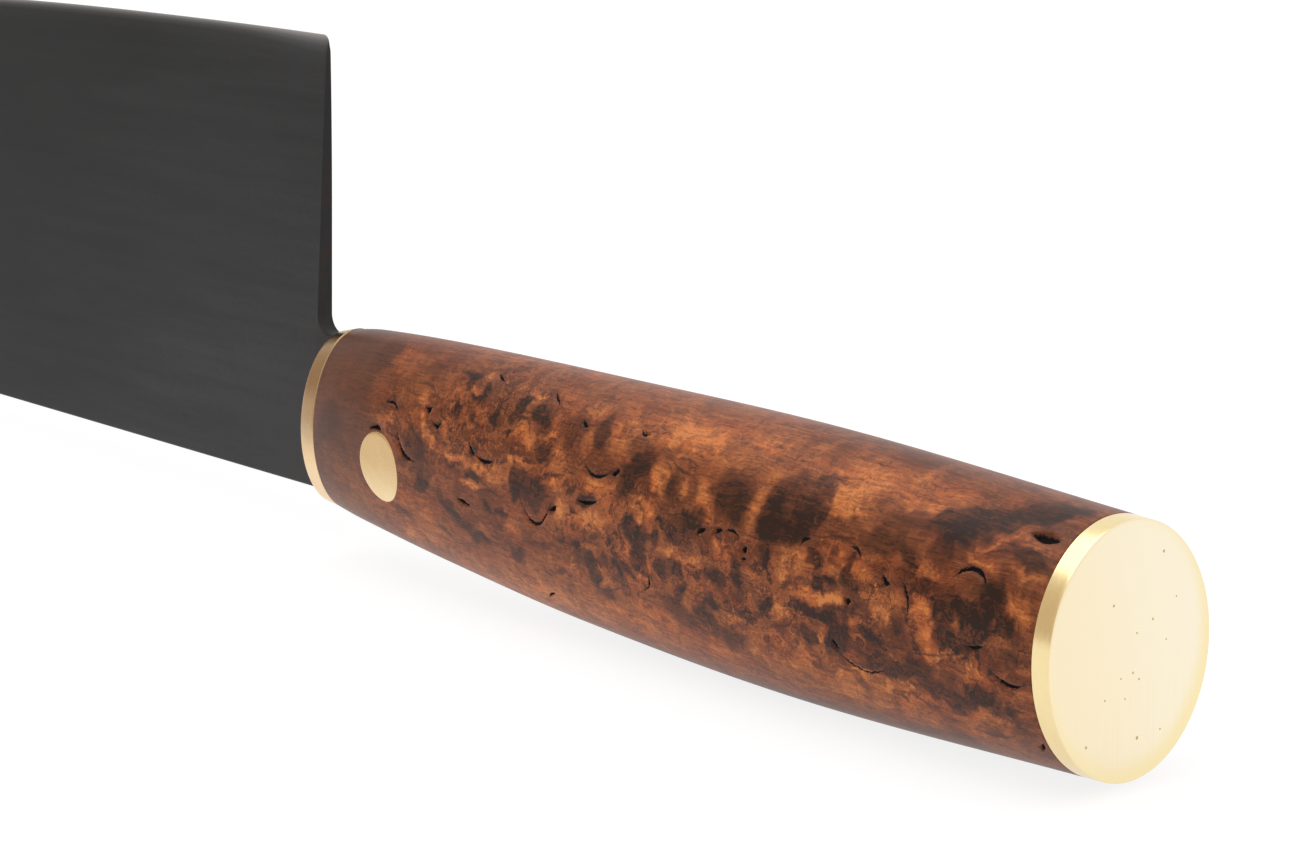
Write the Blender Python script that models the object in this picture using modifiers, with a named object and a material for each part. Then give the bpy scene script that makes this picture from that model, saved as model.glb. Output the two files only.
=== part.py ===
"""Kitchen knife with a hidden tang: a tall chef's blade, a brass bolster, a one-piece wooden grip,
a brass cross pin and a brass butt cap.

Metres, +Z up. The origin is the centre of the butt cap's flat outer face. The knife runs from there
along -X to the tip of the blade. The blade stands in the XZ plane with its cutting edge up and its spine
below. Stations are distances from the butt face towards the tip, so the world x of a station s is -s.
"""

import math

import bmesh
import bpy
from mathutils import Vector

# Clearance that every seated piece keeps to its neighbour
FIT_GAP = 0.0003

# Handle, from the butt face to the front face of the bolster, measured on the handle's axis
HANDLE_LENGTH = 0.1240
CAP_THICKNESS = 0.0019
BOLSTER_THICKNESS = 0.0028

# Oval sections of the handle: place as a share of the handle's length from the butt, full width, full
# height, and how far the section's centre stands above the butt's centre, towards the cutting edge
BUTT_WIDTH = 0.0201
BUTT_HEIGHT = 0.0238
SWELL_PLACE = 0.323
SWELL_WIDTH = 0.0205
SWELL_HEIGHT = 0.0270
SWELL_RISE = 0.0004
PALM_PLACE = 0.605
PALM_WIDTH = 0.0176
PALM_HEIGHT = 0.0263
PALM_RISE = 0.0010
WAIST_PLACE = 0.806
WAIST_WIDTH = 0.0148
WAIST_HEIGHT = 0.0243
WAIST_RISE = 0.0019
SHOULDER_PLACE = 0.935
SHOULDER_WIDTH = 0.0126
SHOULDER_HEIGHT = 0.0221
SHOULDER_RISE = 0.0025
BOLSTER_WIDTH = 0.0113
BOLSTER_HEIGHT = 0.0208
BOLSTER_RISE = 0.0026
BOLSTER_FRONT_WIDTH = 0.0109
BOLSTER_FRONT_HEIGHT = 0.0200
BOLSTER_FRONT_RISE = 0.0024

# The handle's front and the heel of the blade lean: the top of each lies nearer the butt. Behind the
# bolster the lean grows over the first length, and along the blade it fades over the second
FRONT_LEAN = math.radians(5.5)
HEEL_LEAN = math.radians(4.5)
LEAN_REACH = 0.0300
LEAN_FADE = 0.0800

# Softened rims of the two brass plates
BOLSTER_RIM_ROUND = 0.0006
CAP_RIM_ROUND = 0.0005

# Blade: heel to tip, spine below the handle's axis, and the height of the heel over the spine
BLADE_LENGTH = 0.2400
SPINE_DROP = 0.0062
HEEL_HEIGHT = 0.0519
NECK_LENGTH = 0.0030
NECK_TOP = 0.0118
NECK_FILLET = 0.0022
HEEL_ROUND = 0.0010

# Profile of the blade. The edge rises a little from the heel to its crest, then the belly carries it to
# the tip in two curves: a slow one, and a late one that makes the point. The spine is straight as far as
# SPINE_STRAIGHT, then bends up to the tip
EDGE_CREST = 0.0250
EDGE_LIFT = 0.0002
BELLY_SLOW_SHARE = 0.52
BELLY_SLOW_POWER = 2.5
BELLY_LATE_POWER = 6.0
TIP_RISE = 0.0110
SPINE_STRAIGHT = 0.1100
SPINE_CURVE_POWER = 2.3

# Blade thickness: whole thickness at the spine, then at the shoulder of the cutting bevel and at the edge.
# The flank is flat by the spine and convex over the grind's depth. The shares keep the narrow tip in
# proportion
SPINE_THICKNESS = 0.0027
SPINE_THICKNESS_AT_TIP = 0.0011
FLANK_SLOPE = 0.0184
GRIND_DEPTH = 0.0190
GRIND_POWER = 2.2
BEVEL_HEIGHT = 0.0010
BEVEL_HEIGHT_SHARE = 0.35
BEVEL_THICKNESS = 0.0005
BEVEL_THICKNESS_SHARE = 0.6
EDGE_THICKNESS = 0.0001
TIP_BLUNT = 0.0004
TIP_THICKNESS_SHARE = 0.3
SPINE_EASE = 0.0003
SPINE_EASE_SHARE = 0.2

# Hidden tang and the resin that beds it in the grip
TANG_LENGTH = 0.0720
TANG_THICKNESS = 0.0020
TANG_HEIGHT = 0.0116
TANG_END_HEIGHT = 0.0090
BEDDING_WALL = 0.0008

# Brass cross pin: its setback is from the front face of the bolster
PIN_DIAMETER = 0.0078
PIN_SETBACK = 0.0180
PIN_RISE = 0.0004

# Blind dowels that hold the butt cap
DOWEL_DIAMETER = 0.0030
DOWEL_LENGTH = 0.0130
DOWEL_SPACING = 0.0120
DOWEL_SEAT = 0.0012

# How far a cutter reaches past what it cuts
OVERRUN = 0.0050

# Facets
OVAL_SIDES = 40
ROUND_SIDES = 40
GRIP_STEP = 0.0040
FLANK_ROWS = 10
NECK_ROWS = 3
BLADE_STEPS = 30
CORNER_STEPS = 4
RIM_SEGMENTS = 3
SHARP_ANGLE = math.radians(30)
MIRROR_MERGE = 0.00001


def clear_scene():
    for old in list(bpy.data.objects):
        bpy.data.objects.remove(old, do_unlink=True)


def new_collection(name):
    made = bpy.data.collections.new(name)
    bpy.context.scene.collection.children.link(made)
    return made


def new_material(name, colour, roughness, metallic):
    made = bpy.data.materials.new(name)
    made.use_nodes = True
    shader = made.node_tree.nodes["Principled BSDF"]
    shader.inputs["Base Color"].default_value = (*colour, 1.0)
    shader.inputs["Roughness"].default_value = roughness
    shader.inputs["Metallic"].default_value = metallic
    return made


def new_object(name, bm, collection, location, rotation=(0.0, 0.0, 0.0)):
    """An object made of a bmesh, placed on the knife's empty. The bmesh is in the object's own frame."""
    bmesh.ops.recalc_face_normals(bm, faces=bm.faces)
    mesh = bpy.data.meshes.new(name)
    bm.to_mesh(mesh)
    bm.free()
    mesh.shade_smooth()
    mesh.set_sharp_from_angle(angle=SHARP_ANGLE)
    made = bpy.data.objects.new(name, mesh)
    collection.objects.link(made)
    made.parent = knife
    made.location = location
    made.rotation_euler = rotation
    return made


def new_part(name, bm, material, location, rotation=(0.0, 0.0, 0.0)):
    made = new_object(name, bm, parts, location, rotation)
    made.data.materials.append(material)
    return made


def new_cutter(name, bm, location, rotation=(0.0, 0.0, 0.0)):
    made = new_object(name, bm, cutters, location, rotation)
    made.hide_render = True
    made.display_type = "WIRE"
    return made


def on_axis(s):
    """The point of the handle's straight axis at station s."""
    return Vector((-s, 0.0, 0.0))


def boolean(obj, other, operation):
    step = obj.modifiers.new(operation.lower() + "_" + other.name, "BOOLEAN")
    step.operation = operation
    step.object = other
    return step


def smooth_through(knots, s):
    """A smooth curve through (station, value) knots, read at station s."""
    slopes = []
    for i in range(len(knots)):
        before = knots[max(i - 1, 0)]
        after = knots[min(i + 1, len(knots) - 1)]
        slopes.append((after[1] - before[1]) / (after[0] - before[0]))
    if s <= knots[0][0]:
        return knots[0][1] + slopes[0] * (s - knots[0][0])
    if s >= knots[-1][0]:
        return knots[-1][1] + slopes[-1] * (s - knots[-1][0])
    i = max(k for k in range(len(knots) - 1) if knots[k][0] <= s)
    (s0, v0), (s1, v1) = knots[i], knots[i + 1]
    span = s1 - s0
    t = (s - s0) / span
    stay, leave = (2 * t - 3) * t * t + 1, (3 - 2 * t) * t * t
    return stay * v0 + leave * v1 + span * t * (1 - t) * ((1 - t) * slopes[i] - t * slopes[i + 1])


# Stations of the main faces, and the handle's oval sections from the butt to the back of the bolster
BOLSTER_BACK = HANDLE_LENGTH - BOLSTER_THICKNESS
NECK_SHOULDER = HANDLE_LENGTH + FIT_GAP
HEEL_STATION = HANDLE_LENGTH + NECK_LENGTH
TIP_STATION = HEEL_STATION + BLADE_LENGTH
PIN_STATION = HANDLE_LENGTH - PIN_SETBACK
HANDLE_SECTIONS = (
    (0.0, BUTT_WIDTH, BUTT_HEIGHT, 0.0),
    (SWELL_PLACE * HANDLE_LENGTH, SWELL_WIDTH, SWELL_HEIGHT, SWELL_RISE),
    (PALM_PLACE * HANDLE_LENGTH, PALM_WIDTH, PALM_HEIGHT, PALM_RISE),
    (WAIST_PLACE * HANDLE_LENGTH, WAIST_WIDTH, WAIST_HEIGHT, WAIST_RISE),
    (SHOULDER_PLACE * HANDLE_LENGTH, SHOULDER_WIDTH, SHOULDER_HEIGHT, SHOULDER_RISE),
    (BOLSTER_BACK, BOLSTER_WIDTH, BOLSTER_HEIGHT, BOLSTER_RISE),
)


def handle_width(s):
    return smooth_through([(row[0], row[1]) for row in HANDLE_SECTIONS], s)


def handle_height(s):
    return smooth_through([(row[0], row[2]) for row in HANDLE_SECTIONS], s)


def handle_rise(s):
    return smooth_through([(row[0], row[3]) for row in HANDLE_SECTIONS], s)


def share_of(value):
    """The value held between 0 and 1."""
    return min(max(value, 0.0), 1.0)


def lean_at(s):
    """Slope of a section at station s: it grows to the bolster, changes over to the heel's, and fades."""
    grown = share_of((s - BOLSTER_BACK) / LEAN_REACH + 1.0)
    left = share_of((HEEL_STATION - s) / LEAN_FADE + 1.0)
    passed = share_of((s - NECK_SHOULDER) / (HEEL_STATION - NECK_SHOULDER))
    full = math.tan(FRONT_LEAN) * (1.0 - passed) + math.tan(HEEL_LEAN) * passed
    return full * grown**2 * left**2


def leaned(s, y, z):
    """The place in the knife of a point at station s, with the section's lean."""
    return Vector((-(s - lean_at(s) * (z - BOLSTER_RISE)), y, z))


def oval(s, width, height, rise):
    """One oval section, as points round the handle."""
    ring = []
    for k in range(OVAL_SIDES):
        turn = 2 * math.pi * k / OVAL_SIDES
        ring.append(leaned(s, width / 2 * math.cos(turn), rise + height / 2 * math.sin(turn)))
    return ring


def loft(rings, origin, weighted_ring=None):
    """A closed skin through rings of equal counts, with flat ends, seen from the piece's own origin.

    The rim of one ring can be marked for a bevel.
    """
    bm = bmesh.new()
    weight = bm.edges.layers.float.new("bevel_weight_edge")
    rows = [[bm.verts.new(point - origin) for point in ring] for ring in rings]
    for row, after in zip(rows, rows[1:]):
        for k in range(len(row)):
            following = (k + 1) % len(row)
            bm.faces.new((row[k], row[following], after[following], after[k]))
    bm.faces.new(rows[0])
    bm.faces.new(rows[-1])
    if weighted_ring is not None:
        row = rows[weighted_ring]
        for k in range(len(row)):
            bm.edges.get((row[k], row[(k + 1) % len(row)]))[weight] = 1.0
    return bm


def stations(first, last, step):
    count = max(round((last - first) / step), 1)
    return [first + (last - first) * k / count for k in range(count + 1)]


def grip_loft():
    """The grip's outer form, seen from the middle of its back end."""
    rings = []
    for s in stations(GRIP_BACK, GRIP_FRONT, GRIP_STEP):
        rings.append(oval(s, handle_width(s), handle_height(s), handle_rise(s)))
    return loft(rings, on_axis(GRIP_BACK))


def rod(radius, length):
    """A round bar along Z, centred on its own origin."""
    bm = bmesh.new()
    bmesh.ops.create_cone(
        bm, cap_ends=True, segments=ROUND_SIDES, radius1=radius, radius2=radius, depth=length
    )
    return bm


# Heights of the blade's outline
SPINE_Z = -SPINE_DROP
HEEL_Z = SPINE_Z + HEEL_HEIGHT
CREST_Z = HEEL_Z + EDGE_LIFT
TIP_Z = SPINE_Z + TIP_RISE


def spine_z(s):
    """Straight from the heel, then a slow curve towards the edge at the tip."""
    past = max(s - HEEL_STATION - SPINE_STRAIGHT, 0.0) / (BLADE_LENGTH - SPINE_STRAIGHT)
    return SPINE_Z + TIP_RISE * past**SPINE_CURVE_POWER


def edge_z(s):
    """A rounded heel corner, a slight rise to the crest, and the belly from there to the tip."""
    past = s - HEEL_STATION
    rise = EDGE_LIFT * max(1.0 - past / EDGE_CREST, 0.0) ** 2
    belly = max(past - EDGE_CREST, 0.0) / (BLADE_LENGTH - EDGE_CREST)
    slow, late = belly**BELLY_SLOW_POWER, belly**BELLY_LATE_POWER
    fall = (CREST_Z - TIP_Z) * (BELLY_SLOW_SHARE * slow + (1.0 - BELLY_SLOW_SHARE) * late)
    corner = max(HEEL_ROUND - past, 0.0)
    return CREST_Z - rise - fall - (HEEL_ROUND - math.sqrt(max(HEEL_ROUND**2 - corner**2, 0.0)))


def shoulder_z(s):
    """Height where the flank meets the cutting bevel."""
    return edge_z(s) - min(BEVEL_HEIGHT, BEVEL_HEIGHT_SHARE * (edge_z(s) - spine_z(s)))


def neck_top(s):
    """Upper line of the neck, with the fillet that runs up into the heel's face."""
    inside = max(NECK_FILLET - (HEEL_STATION - s), 0.0)
    return NECK_TOP + NECK_FILLET - math.sqrt(NECK_FILLET**2 - inside**2)


def spine_half_thickness(s):
    """Half the spine's thickness: an even taper, drawn in over the last stretch to a fine point."""
    share = (s - HEEL_STATION) / BLADE_LENGTH
    even = SPINE_THICKNESS + (SPINE_THICKNESS_AT_TIP - SPINE_THICKNESS) * share
    before_tip = share_of((TIP_STATION - s) / GRIND_DEPTH)
    return even / 2 * (TIP_THICKNESS_SHARE + (1.0 - TIP_THICKNESS_SHARE) * math.sqrt(before_tip))


def flank_half_thickness(s, z):
    """Half the blade's thickness: a flat flank from the spine, then a convex grind to the bevel."""
    low, shoulder = spine_z(s), shoulder_z(s)
    spine = spine_half_thickness(s - lean_at(s) * (z - BOLSTER_RISE))
    thin = min(BEVEL_THICKNESS / 2, BEVEL_THICKNESS_SHARE * spine)
    grind_start = max(shoulder - GRIND_DEPTH, low)
    flat = spine - FLANK_SLOPE * (min(z, grind_start) - low)
    share = max(z - grind_start, 0.0) / (shoulder - grind_start)
    straight = FLANK_SLOPE * (shoulder - grind_start)
    return flat - straight * share - (flat - thin - straight) * share**GRIND_POWER


def flank_points(s, low, heights):
    """Half a section from the middle of its lower face, round an eased corner and up one flank."""
    ease = min(SPINE_EASE, SPINE_EASE_SHARE * (heights[-1] - low))
    corner = flank_half_thickness(s, low)
    eased = [(corner - min(ease, corner / 2), low), (flank_half_thickness(s, low + ease), low + ease)]
    return [(0.0, low)] + eased + [(flank_half_thickness(s, z), z) for z in heights]


def between(low, high, count):
    """Count heights above low, evenly up to and with high."""
    return [low + (high - low) * k / count for k in range(1, count + 1)]


def blade_section(s):
    """Half of the blade at station s, from the spine to the edge. The neck's rows come first."""
    low, shoulder = spine_z(s), shoulder_z(s)
    share = (NECK_TOP + NECK_FILLET - SPINE_Z) / (HEEL_Z - HEEL_ROUND - BEVEL_HEIGHT - SPINE_Z)
    split = low + (shoulder - low) * share
    heights = between(low, split, NECK_ROWS) + between(split, shoulder, FLANK_ROWS - NECK_ROWS)
    return flank_points(s, low, heights) + [(EDGE_THICKNESS / 2, edge_z(s)), (0.0, edge_z(s))]


def neck_section(s):
    top = neck_top(s)
    return flank_points(s, SPINE_Z, between(SPINE_Z, top, NECK_ROWS)) + [(0.0, top)]


def tang_height(s):
    share = (s - TANG_END) / (NECK_SHOULDER - TANG_END)
    return TANG_END_HEIGHT + (TANG_HEIGHT - TANG_END_HEIGHT) * share


def tang_section(s):
    """Half of the tang's box section, with as many points as the neck's."""
    low, high = PIN_RISE - tang_height(s) / 2, PIN_RISE + tang_height(s) / 2
    half = TANG_THICKNESS / 2
    points = [(0.0, low), (half - SPINE_EASE, low), (half, low + SPINE_EASE)]
    return points + [(half, z) for z in between(low, high, NECK_ROWS)] + [(0.0, high)]


def blade_stations():
    """Close together round the heel's corner and near the tip, wide apart between."""
    corner = [0.0] + quarter_turn(HEEL_ROUND)
    run = BLADE_LENGTH - TIP_BLUNT - HEEL_ROUND
    rest = [HEEL_ROUND + run * math.sin(math.pi / 2 * k / BLADE_STEPS) for k in range(1, BLADE_STEPS + 1)]
    return [HEEL_STATION + past for past in corner + rest]


def skin(bm, rows):
    """Faces between rows of vertices that run side by side."""
    for row, after in zip(rows, rows[1:]):
        for k in range(len(row) - 1):
            bm.faces.new((row[k], row[k + 1], after[k + 1], after[k]))


def quarter_turn(radius):
    """Distances from the start of a rounded corner, even along its arc, without the first."""
    turns = [math.pi / 2 * k / CORNER_STEPS for k in range(1, CORNER_STEPS + 1)]
    return [radius * (1 - math.cos(turn)) for turn in turns]


def half_blade():
    """One half of the blade with its neck and tang, open at the middle plane, seen from the heel."""
    bm = bmesh.new()

    def row(s, points):
        return [bm.verts.new(leaned(s, y, z) - on_axis(HEEL_STATION)) for y, z in points]

    blade = [row(s, blade_section(s)) for s in blade_stations()]
    skin(bm, blade)
    bm.faces.new(blade[-1])
    # The heel's narrow face, between the flank and the middle plane
    split = 2 + NECK_ROWS
    heel = blade[0]
    heights = [z for _, z in blade_section(HEEL_STATION)]
    middle = row(HEEL_STATION, [(0.0, z) for z in heights[split:-2]]) + [heel[-1]]
    skin(bm, [heel[split:-1], middle])
    # The neck with its fillet, then the shoulders and the tang
    neck = [row(HEEL_STATION - d, neck_section(HEEL_STATION - d)) for d in quarter_turn(NECK_FILLET)]
    neck.append(row(NECK_SHOULDER, neck_section(NECK_SHOULDER)))
    tang = [row(s, tang_section(s)) for s in (NECK_SHOULDER, PIN_STATION, TANG_END)]
    skin(bm, [heel[: split + 1] + [middle[0]]] + neck + tang)
    bm.faces.new(tang[-1])
    return bm


# The tang ends inside the grip. Solids of its form, a little larger, cut the room that it and its bed take
TANG_END = HANDLE_LENGTH - TANG_LENGTH
TANG_ROOM = FIT_GAP
BED_SIZE = TANG_ROOM + BEDDING_WALL
BED_ROOM = BED_SIZE + FIT_GAP
PIN_ROOM = PIN_DIAMETER / 2 + FIT_GAP
PIN_CENTRE = Vector((-PIN_STATION, 0.0, PIN_RISE))
ACROSS = (math.pi / 2, 0.0, 0.0)
ALONG = (0.0, math.pi / 2, 0.0)
GRIP_BACK = CAP_THICKNESS + FIT_GAP
GRIP_FRONT = BOLSTER_BACK - FIT_GAP
BLIND_END = CAP_THICKNESS - DOWEL_SEAT


def tang_form(grown, first, last):
    """A solid of the tang's form, larger by grown on its sides, seen from its first station."""
    rings = []
    for s in (first, last):
        half_width = TANG_THICKNESS / 2 + grown
        half_height = tang_height(s) / 2 + grown
        corners = ((-1, -1), (1, -1), (1, 1), (-1, 1))
        rings.append([leaned(s, half_width * y, PIN_RISE + half_height * z) for y, z in corners])
    return loft(rings, on_axis(first))


def pin_bar(radius):
    """A bar longer than the handle is wide, for the pin and for its hole."""
    return rod(radius, 2 * handle_width(PIN_STATION))


clear_scene()
parts = new_collection("chef_knife")
cutters = new_collection("cutters")
knife = bpy.data.objects.new("knife_origin", None)
parts.objects.link(knife)

STEEL = new_material("forged_steel", (0.075, 0.075, 0.078), 0.42, 0.85)
BRASS = new_material("brass", (0.80, 0.62, 0.30), 0.30, 1.0)
BOLSTER_BRASS = new_material("bolster_brass", (0.74, 0.55, 0.26), 0.35, 1.0)
CAP_BRASS = new_material("cap_brass", (0.84, 0.67, 0.36), 0.28, 1.0)
DOWEL_BRASS = new_material("dowel_brass", (0.70, 0.52, 0.25), 0.40, 1.0)
WOOD = new_material("stained_burl", (0.26, 0.095, 0.035), 0.38, 0.0)
RESIN = new_material("bedding_resin", (0.55, 0.42, 0.20), 0.25, 0.0)

# Cutters: the pin's hole, the tang's slots in bolster, grip and bed, and the grip's outer form
pin_hole = new_cutter("pin_hole", pin_bar(PIN_ROOM), PIN_CENTRE, ACROSS)
SLOT_END = HANDLE_LENGTH + OVERRUN
bolster_slot_form = tang_form(TANG_ROOM, BOLSTER_BACK - OVERRUN, SLOT_END)
bolster_slot = new_cutter("bolster_slot", bolster_slot_form, on_axis(BOLSTER_BACK - OVERRUN))
grip_slot_form = tang_form(BED_ROOM, TANG_END - BED_ROOM, SLOT_END)
grip_slot = new_cutter("grip_slot", grip_slot_form, on_axis(TANG_END - BED_ROOM))
bed_bore_form = tang_form(TANG_ROOM, TANG_END - TANG_ROOM, SLOT_END)
bed_bore = new_cutter("bed_bore", bed_bore_form, on_axis(TANG_END - TANG_ROOM))
barrel = new_cutter("barrel", grip_loft(), on_axis(GRIP_BACK))

# Blade, forged in one piece with its neck and tang
blade = new_part("blade", half_blade(), STEEL, on_axis(HEEL_STATION))
mirror = blade.modifiers.new("both_flanks", "MIRROR")
mirror.use_axis = (False, True, False)
mirror.merge_threshold = MIRROR_MERGE
boolean(blade, pin_hole, "DIFFERENCE")


def round_rim(obj, name, radius):
    """A bevel on the rim that the loft has marked."""
    rim = obj.modifiers.new(name, "BEVEL")
    rim.limit_method = "WEIGHT"
    rim.width = radius
    rim.segments = RIM_SEGMENTS


# Bolster, an oval brass plate with a slot for the tang
bolster_rings = [
    oval(BOLSTER_BACK, BOLSTER_WIDTH, BOLSTER_HEIGHT, BOLSTER_RISE),
    oval(HANDLE_LENGTH, BOLSTER_FRONT_WIDTH, BOLSTER_FRONT_HEIGHT, BOLSTER_FRONT_RISE),
]
bolster_form = loft(bolster_rings, on_axis(BOLSTER_BACK), weighted_ring=-1)
bolster = new_part("bolster", bolster_form, BOLSTER_BRASS, on_axis(BOLSTER_BACK))
round_rim(bolster, "front_rim", BOLSTER_RIM_ROUND)
boolean(bolster, bolster_slot, "DIFFERENCE")

# Grip, one block of burl drilled for the tang, the pin and the cap's dowels
grip = new_part("grip", grip_loft(), WOOD, on_axis(GRIP_BACK))
boolean(grip, grip_slot, "DIFFERENCE")
boolean(grip, pin_hole, "DIFFERENCE")

# Bed of cured resin between the tang and the wood
bed_form = tang_form(BED_SIZE, TANG_END - BED_SIZE, GRIP_FRONT)
bed = new_part("tang_bed", bed_form, RESIN, on_axis(TANG_END - BED_SIZE))
boolean(bed, bed_bore, "DIFFERENCE")
boolean(bed, pin_hole, "DIFFERENCE")

# Cross pin, filed flush with the barrel of the grip
pin = new_part("cross_pin", pin_bar(PIN_DIAMETER / 2), BRASS, PIN_CENTRE, ACROSS)
boolean(pin, barrel, "INTERSECT")

# Butt cap, with a softened outer rim
cap_rings = [oval(s, BUTT_WIDTH, BUTT_HEIGHT, 0.0) for s in (0.0, CAP_THICKNESS)]
cap = new_part("butt_cap", loft(cap_rings, on_axis(0.0), weighted_ring=0), CAP_BRASS, on_axis(0.0))
round_rim(cap, "outer_rim", CAP_RIM_ROUND)

# Two blind dowels from the cap into the grip's end, each in a hole with room all round
for name, z in (("cap_dowel_upper", DOWEL_SPACING / 2), ("cap_dowel_lower", -DOWEL_SPACING / 2)):
    middle = Vector((-(BLIND_END + FIT_GAP + DOWEL_LENGTH / 2), 0.0, z))
    hole_form = rod(DOWEL_DIAMETER / 2 + FIT_GAP, DOWEL_LENGTH + 2 * FIT_GAP)
    hole = new_cutter(name + "_hole", hole_form, middle, ALONG)
    boolean(cap, hole, "DIFFERENCE")
    boolean(grip, hole, "DIFFERENCE")
    new_part(name, rod(DOWEL_DIAMETER / 2, DOWEL_LENGTH), DOWEL_BRASS, middle, ALONG)
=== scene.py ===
# %% [markdown]
# # Dressing a gyuto knife
# This lesson takes a plain, exact model of a kitchen knife and gives it its real surfaces: a stained
# burl handle, brass fittings and a dark forged blade with a ground edge. The knife lies along X with
# its butt at the origin and its tip at the far end of minus X. The cutting edge looks up, along Z.

import math

import bmesh
import bpy
import numpy as np
from mathutils import Matrix, Vector
from mathutils.noise import noise_vector, seed_set


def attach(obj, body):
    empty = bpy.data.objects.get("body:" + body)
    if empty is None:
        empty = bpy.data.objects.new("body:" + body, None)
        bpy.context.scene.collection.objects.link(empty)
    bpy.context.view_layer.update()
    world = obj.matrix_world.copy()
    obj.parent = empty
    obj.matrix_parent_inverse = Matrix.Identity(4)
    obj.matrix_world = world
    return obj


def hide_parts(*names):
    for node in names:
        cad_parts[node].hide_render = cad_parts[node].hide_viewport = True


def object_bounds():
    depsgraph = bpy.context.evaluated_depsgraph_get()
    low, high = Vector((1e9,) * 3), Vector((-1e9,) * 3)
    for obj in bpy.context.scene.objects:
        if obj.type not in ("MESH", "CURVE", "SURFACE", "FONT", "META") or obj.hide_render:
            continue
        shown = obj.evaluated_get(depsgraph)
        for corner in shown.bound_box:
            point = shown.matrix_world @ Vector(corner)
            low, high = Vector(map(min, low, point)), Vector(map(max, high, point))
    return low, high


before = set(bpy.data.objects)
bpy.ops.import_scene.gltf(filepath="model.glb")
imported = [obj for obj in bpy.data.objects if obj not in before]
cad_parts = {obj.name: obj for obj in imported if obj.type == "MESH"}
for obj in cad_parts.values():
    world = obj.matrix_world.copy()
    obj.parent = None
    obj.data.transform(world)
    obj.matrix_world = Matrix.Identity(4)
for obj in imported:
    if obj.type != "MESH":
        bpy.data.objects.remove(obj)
exact_box = [list(corner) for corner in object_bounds()]
print("exact model's box:", exact_box)

# %% [markdown]
# ## Measures
# A visible piece can only sit right if it is built from the same measures as the exact model. They are
# repeated here in metres. A *station* is a distance along the knife from the butt face.

# %% Measures of the handle
MM = 0.001
HANDLE_LENGTH = 0.1240
CAP_THICKNESS = 0.0022
BOLSTER_THICKNESS = 0.0028
BOLSTER_BACK = HANDLE_LENGTH - BOLSTER_THICKNESS
# the visible brass reaches a little over the wood's end, and the wood's skin stops where it starts
BRASS_OVER = 0.0006
BRASS_FROM = BOLSTER_BACK - BRASS_OVER
BOLSTER_RISE = 0.0026
# station, width, height and rise of the oval sections
SECTIONS = np.array(
    [
        (0.0, 0.0201, 0.0238, 0.0),
        (0.323 * HANDLE_LENGTH, 0.0205, 0.0270, 0.0004),
        (0.605 * HANDLE_LENGTH, 0.0176, 0.0263, 0.0010),
        (0.806 * HANDLE_LENGTH, 0.0148, 0.0243, 0.0019),
        (0.935 * HANDLE_LENGTH, 0.0126, 0.0221, 0.0025),
        (BOLSTER_BACK, 0.0113, 0.0208, BOLSTER_RISE),
    ]
)
BOLSTER_FRONT = (0.0109, 0.0200, 0.0024)
PIN_STATION, PIN_RISE, PIN_RADIUS = 0.1060, 0.0004, 0.0039

# %% Measures of the blade
NECK_LENGTH = 0.0030
HEEL_STATION = HANDLE_LENGTH + NECK_LENGTH
BLADE_LENGTH = 0.2400
TIP_STATION = HEEL_STATION + BLADE_LENGTH
SPINE_Z = -0.0062
HEEL_Z = SPINE_Z + 0.0519
HEEL_ROUND = 0.0010
NECK_TOP, NECK_FILLET = 0.0118, 0.0022
CREST_Z, EDGE_CREST, EDGE_LIFT = HEEL_Z + 0.0002, 0.0250, 0.0002
TIP_Z = SPINE_Z + 0.0110
SPINE_STRAIGHT = 0.1100
FRONT_LEAN, HEEL_LEAN = math.radians(5.5), math.radians(4.5)
# the lean grows over this length before the bolster, and fades over this one past the heel
LEAN_GROWS, LEAN_FADES = 0.0300, 0.0800
print("blade from", HEEL_STATION, "to", TIP_STATION)

# %% [markdown]
# ## The handle's form
# The real handle was shaped by eye between a few oval sections, so a smooth curve through those
# sections gives its width, height and rise at any station. Near the blade each section leans, because
# the bolster was filed at a slight angle. The lean fades out towards the palm and along the blade.


# %% Width, height and rise at a station
def smooth_through(column, s):
    places, values = SECTIONS[:, 0], SECTIONS[:, column]
    slopes = [
        (values[min(i + 1, 5)] - values[max(i - 1, 0)]) / (places[min(i + 1, 5)] - places[max(i - 1, 0)])
        for i in range(6)
    ]
    if s >= places[-1]:
        return values[-1] + slopes[-1] * (s - places[-1])
    i = max(int(np.searchsorted(places, s, side="right")) - 1, 0)
    span = places[i + 1] - places[i]
    t = (s - places[i]) / span
    stay, leave = (2 * t - 3) * t * t + 1, (3 - 2 * t) * t * t
    bend = span * t * (1 - t) * ((1 - t) * slopes[i] - t * slopes[i + 1])
    return stay * values[i] + leave * values[i + 1] + bend


def share_of(value):
    return min(max(value, 0.0), 1.0)


def lean_at(s):
    grown = share_of((s - BOLSTER_BACK) / LEAN_GROWS + 1.0)
    left = share_of((HEEL_STATION - s) / LEAN_FADES + 1.0)
    passed = share_of((s - HANDLE_LENGTH) / NECK_LENGTH)
    full = math.tan(FRONT_LEAN) * (1.0 - passed) + math.tan(HEEL_LEAN) * passed
    return full * grown**2 * left**2


print("widest at the swell:", round(smooth_through(1, 0.040) / MM, 2), "mm")


# %% One oval section as a ring of points
def oval_ring(s, turns, shrink=0.0, size=None):
    width, height, rise = size or [smooth_through(column, s) for column in (1, 2, 3)]
    y = (width / 2 - shrink) * np.cos(turns)
    z = rise + (height / 2 - shrink) * np.sin(turns)
    return np.stack([-(s - lean_at(s) * (z - BOLSTER_RISE)), y, z], axis=1)


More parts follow.
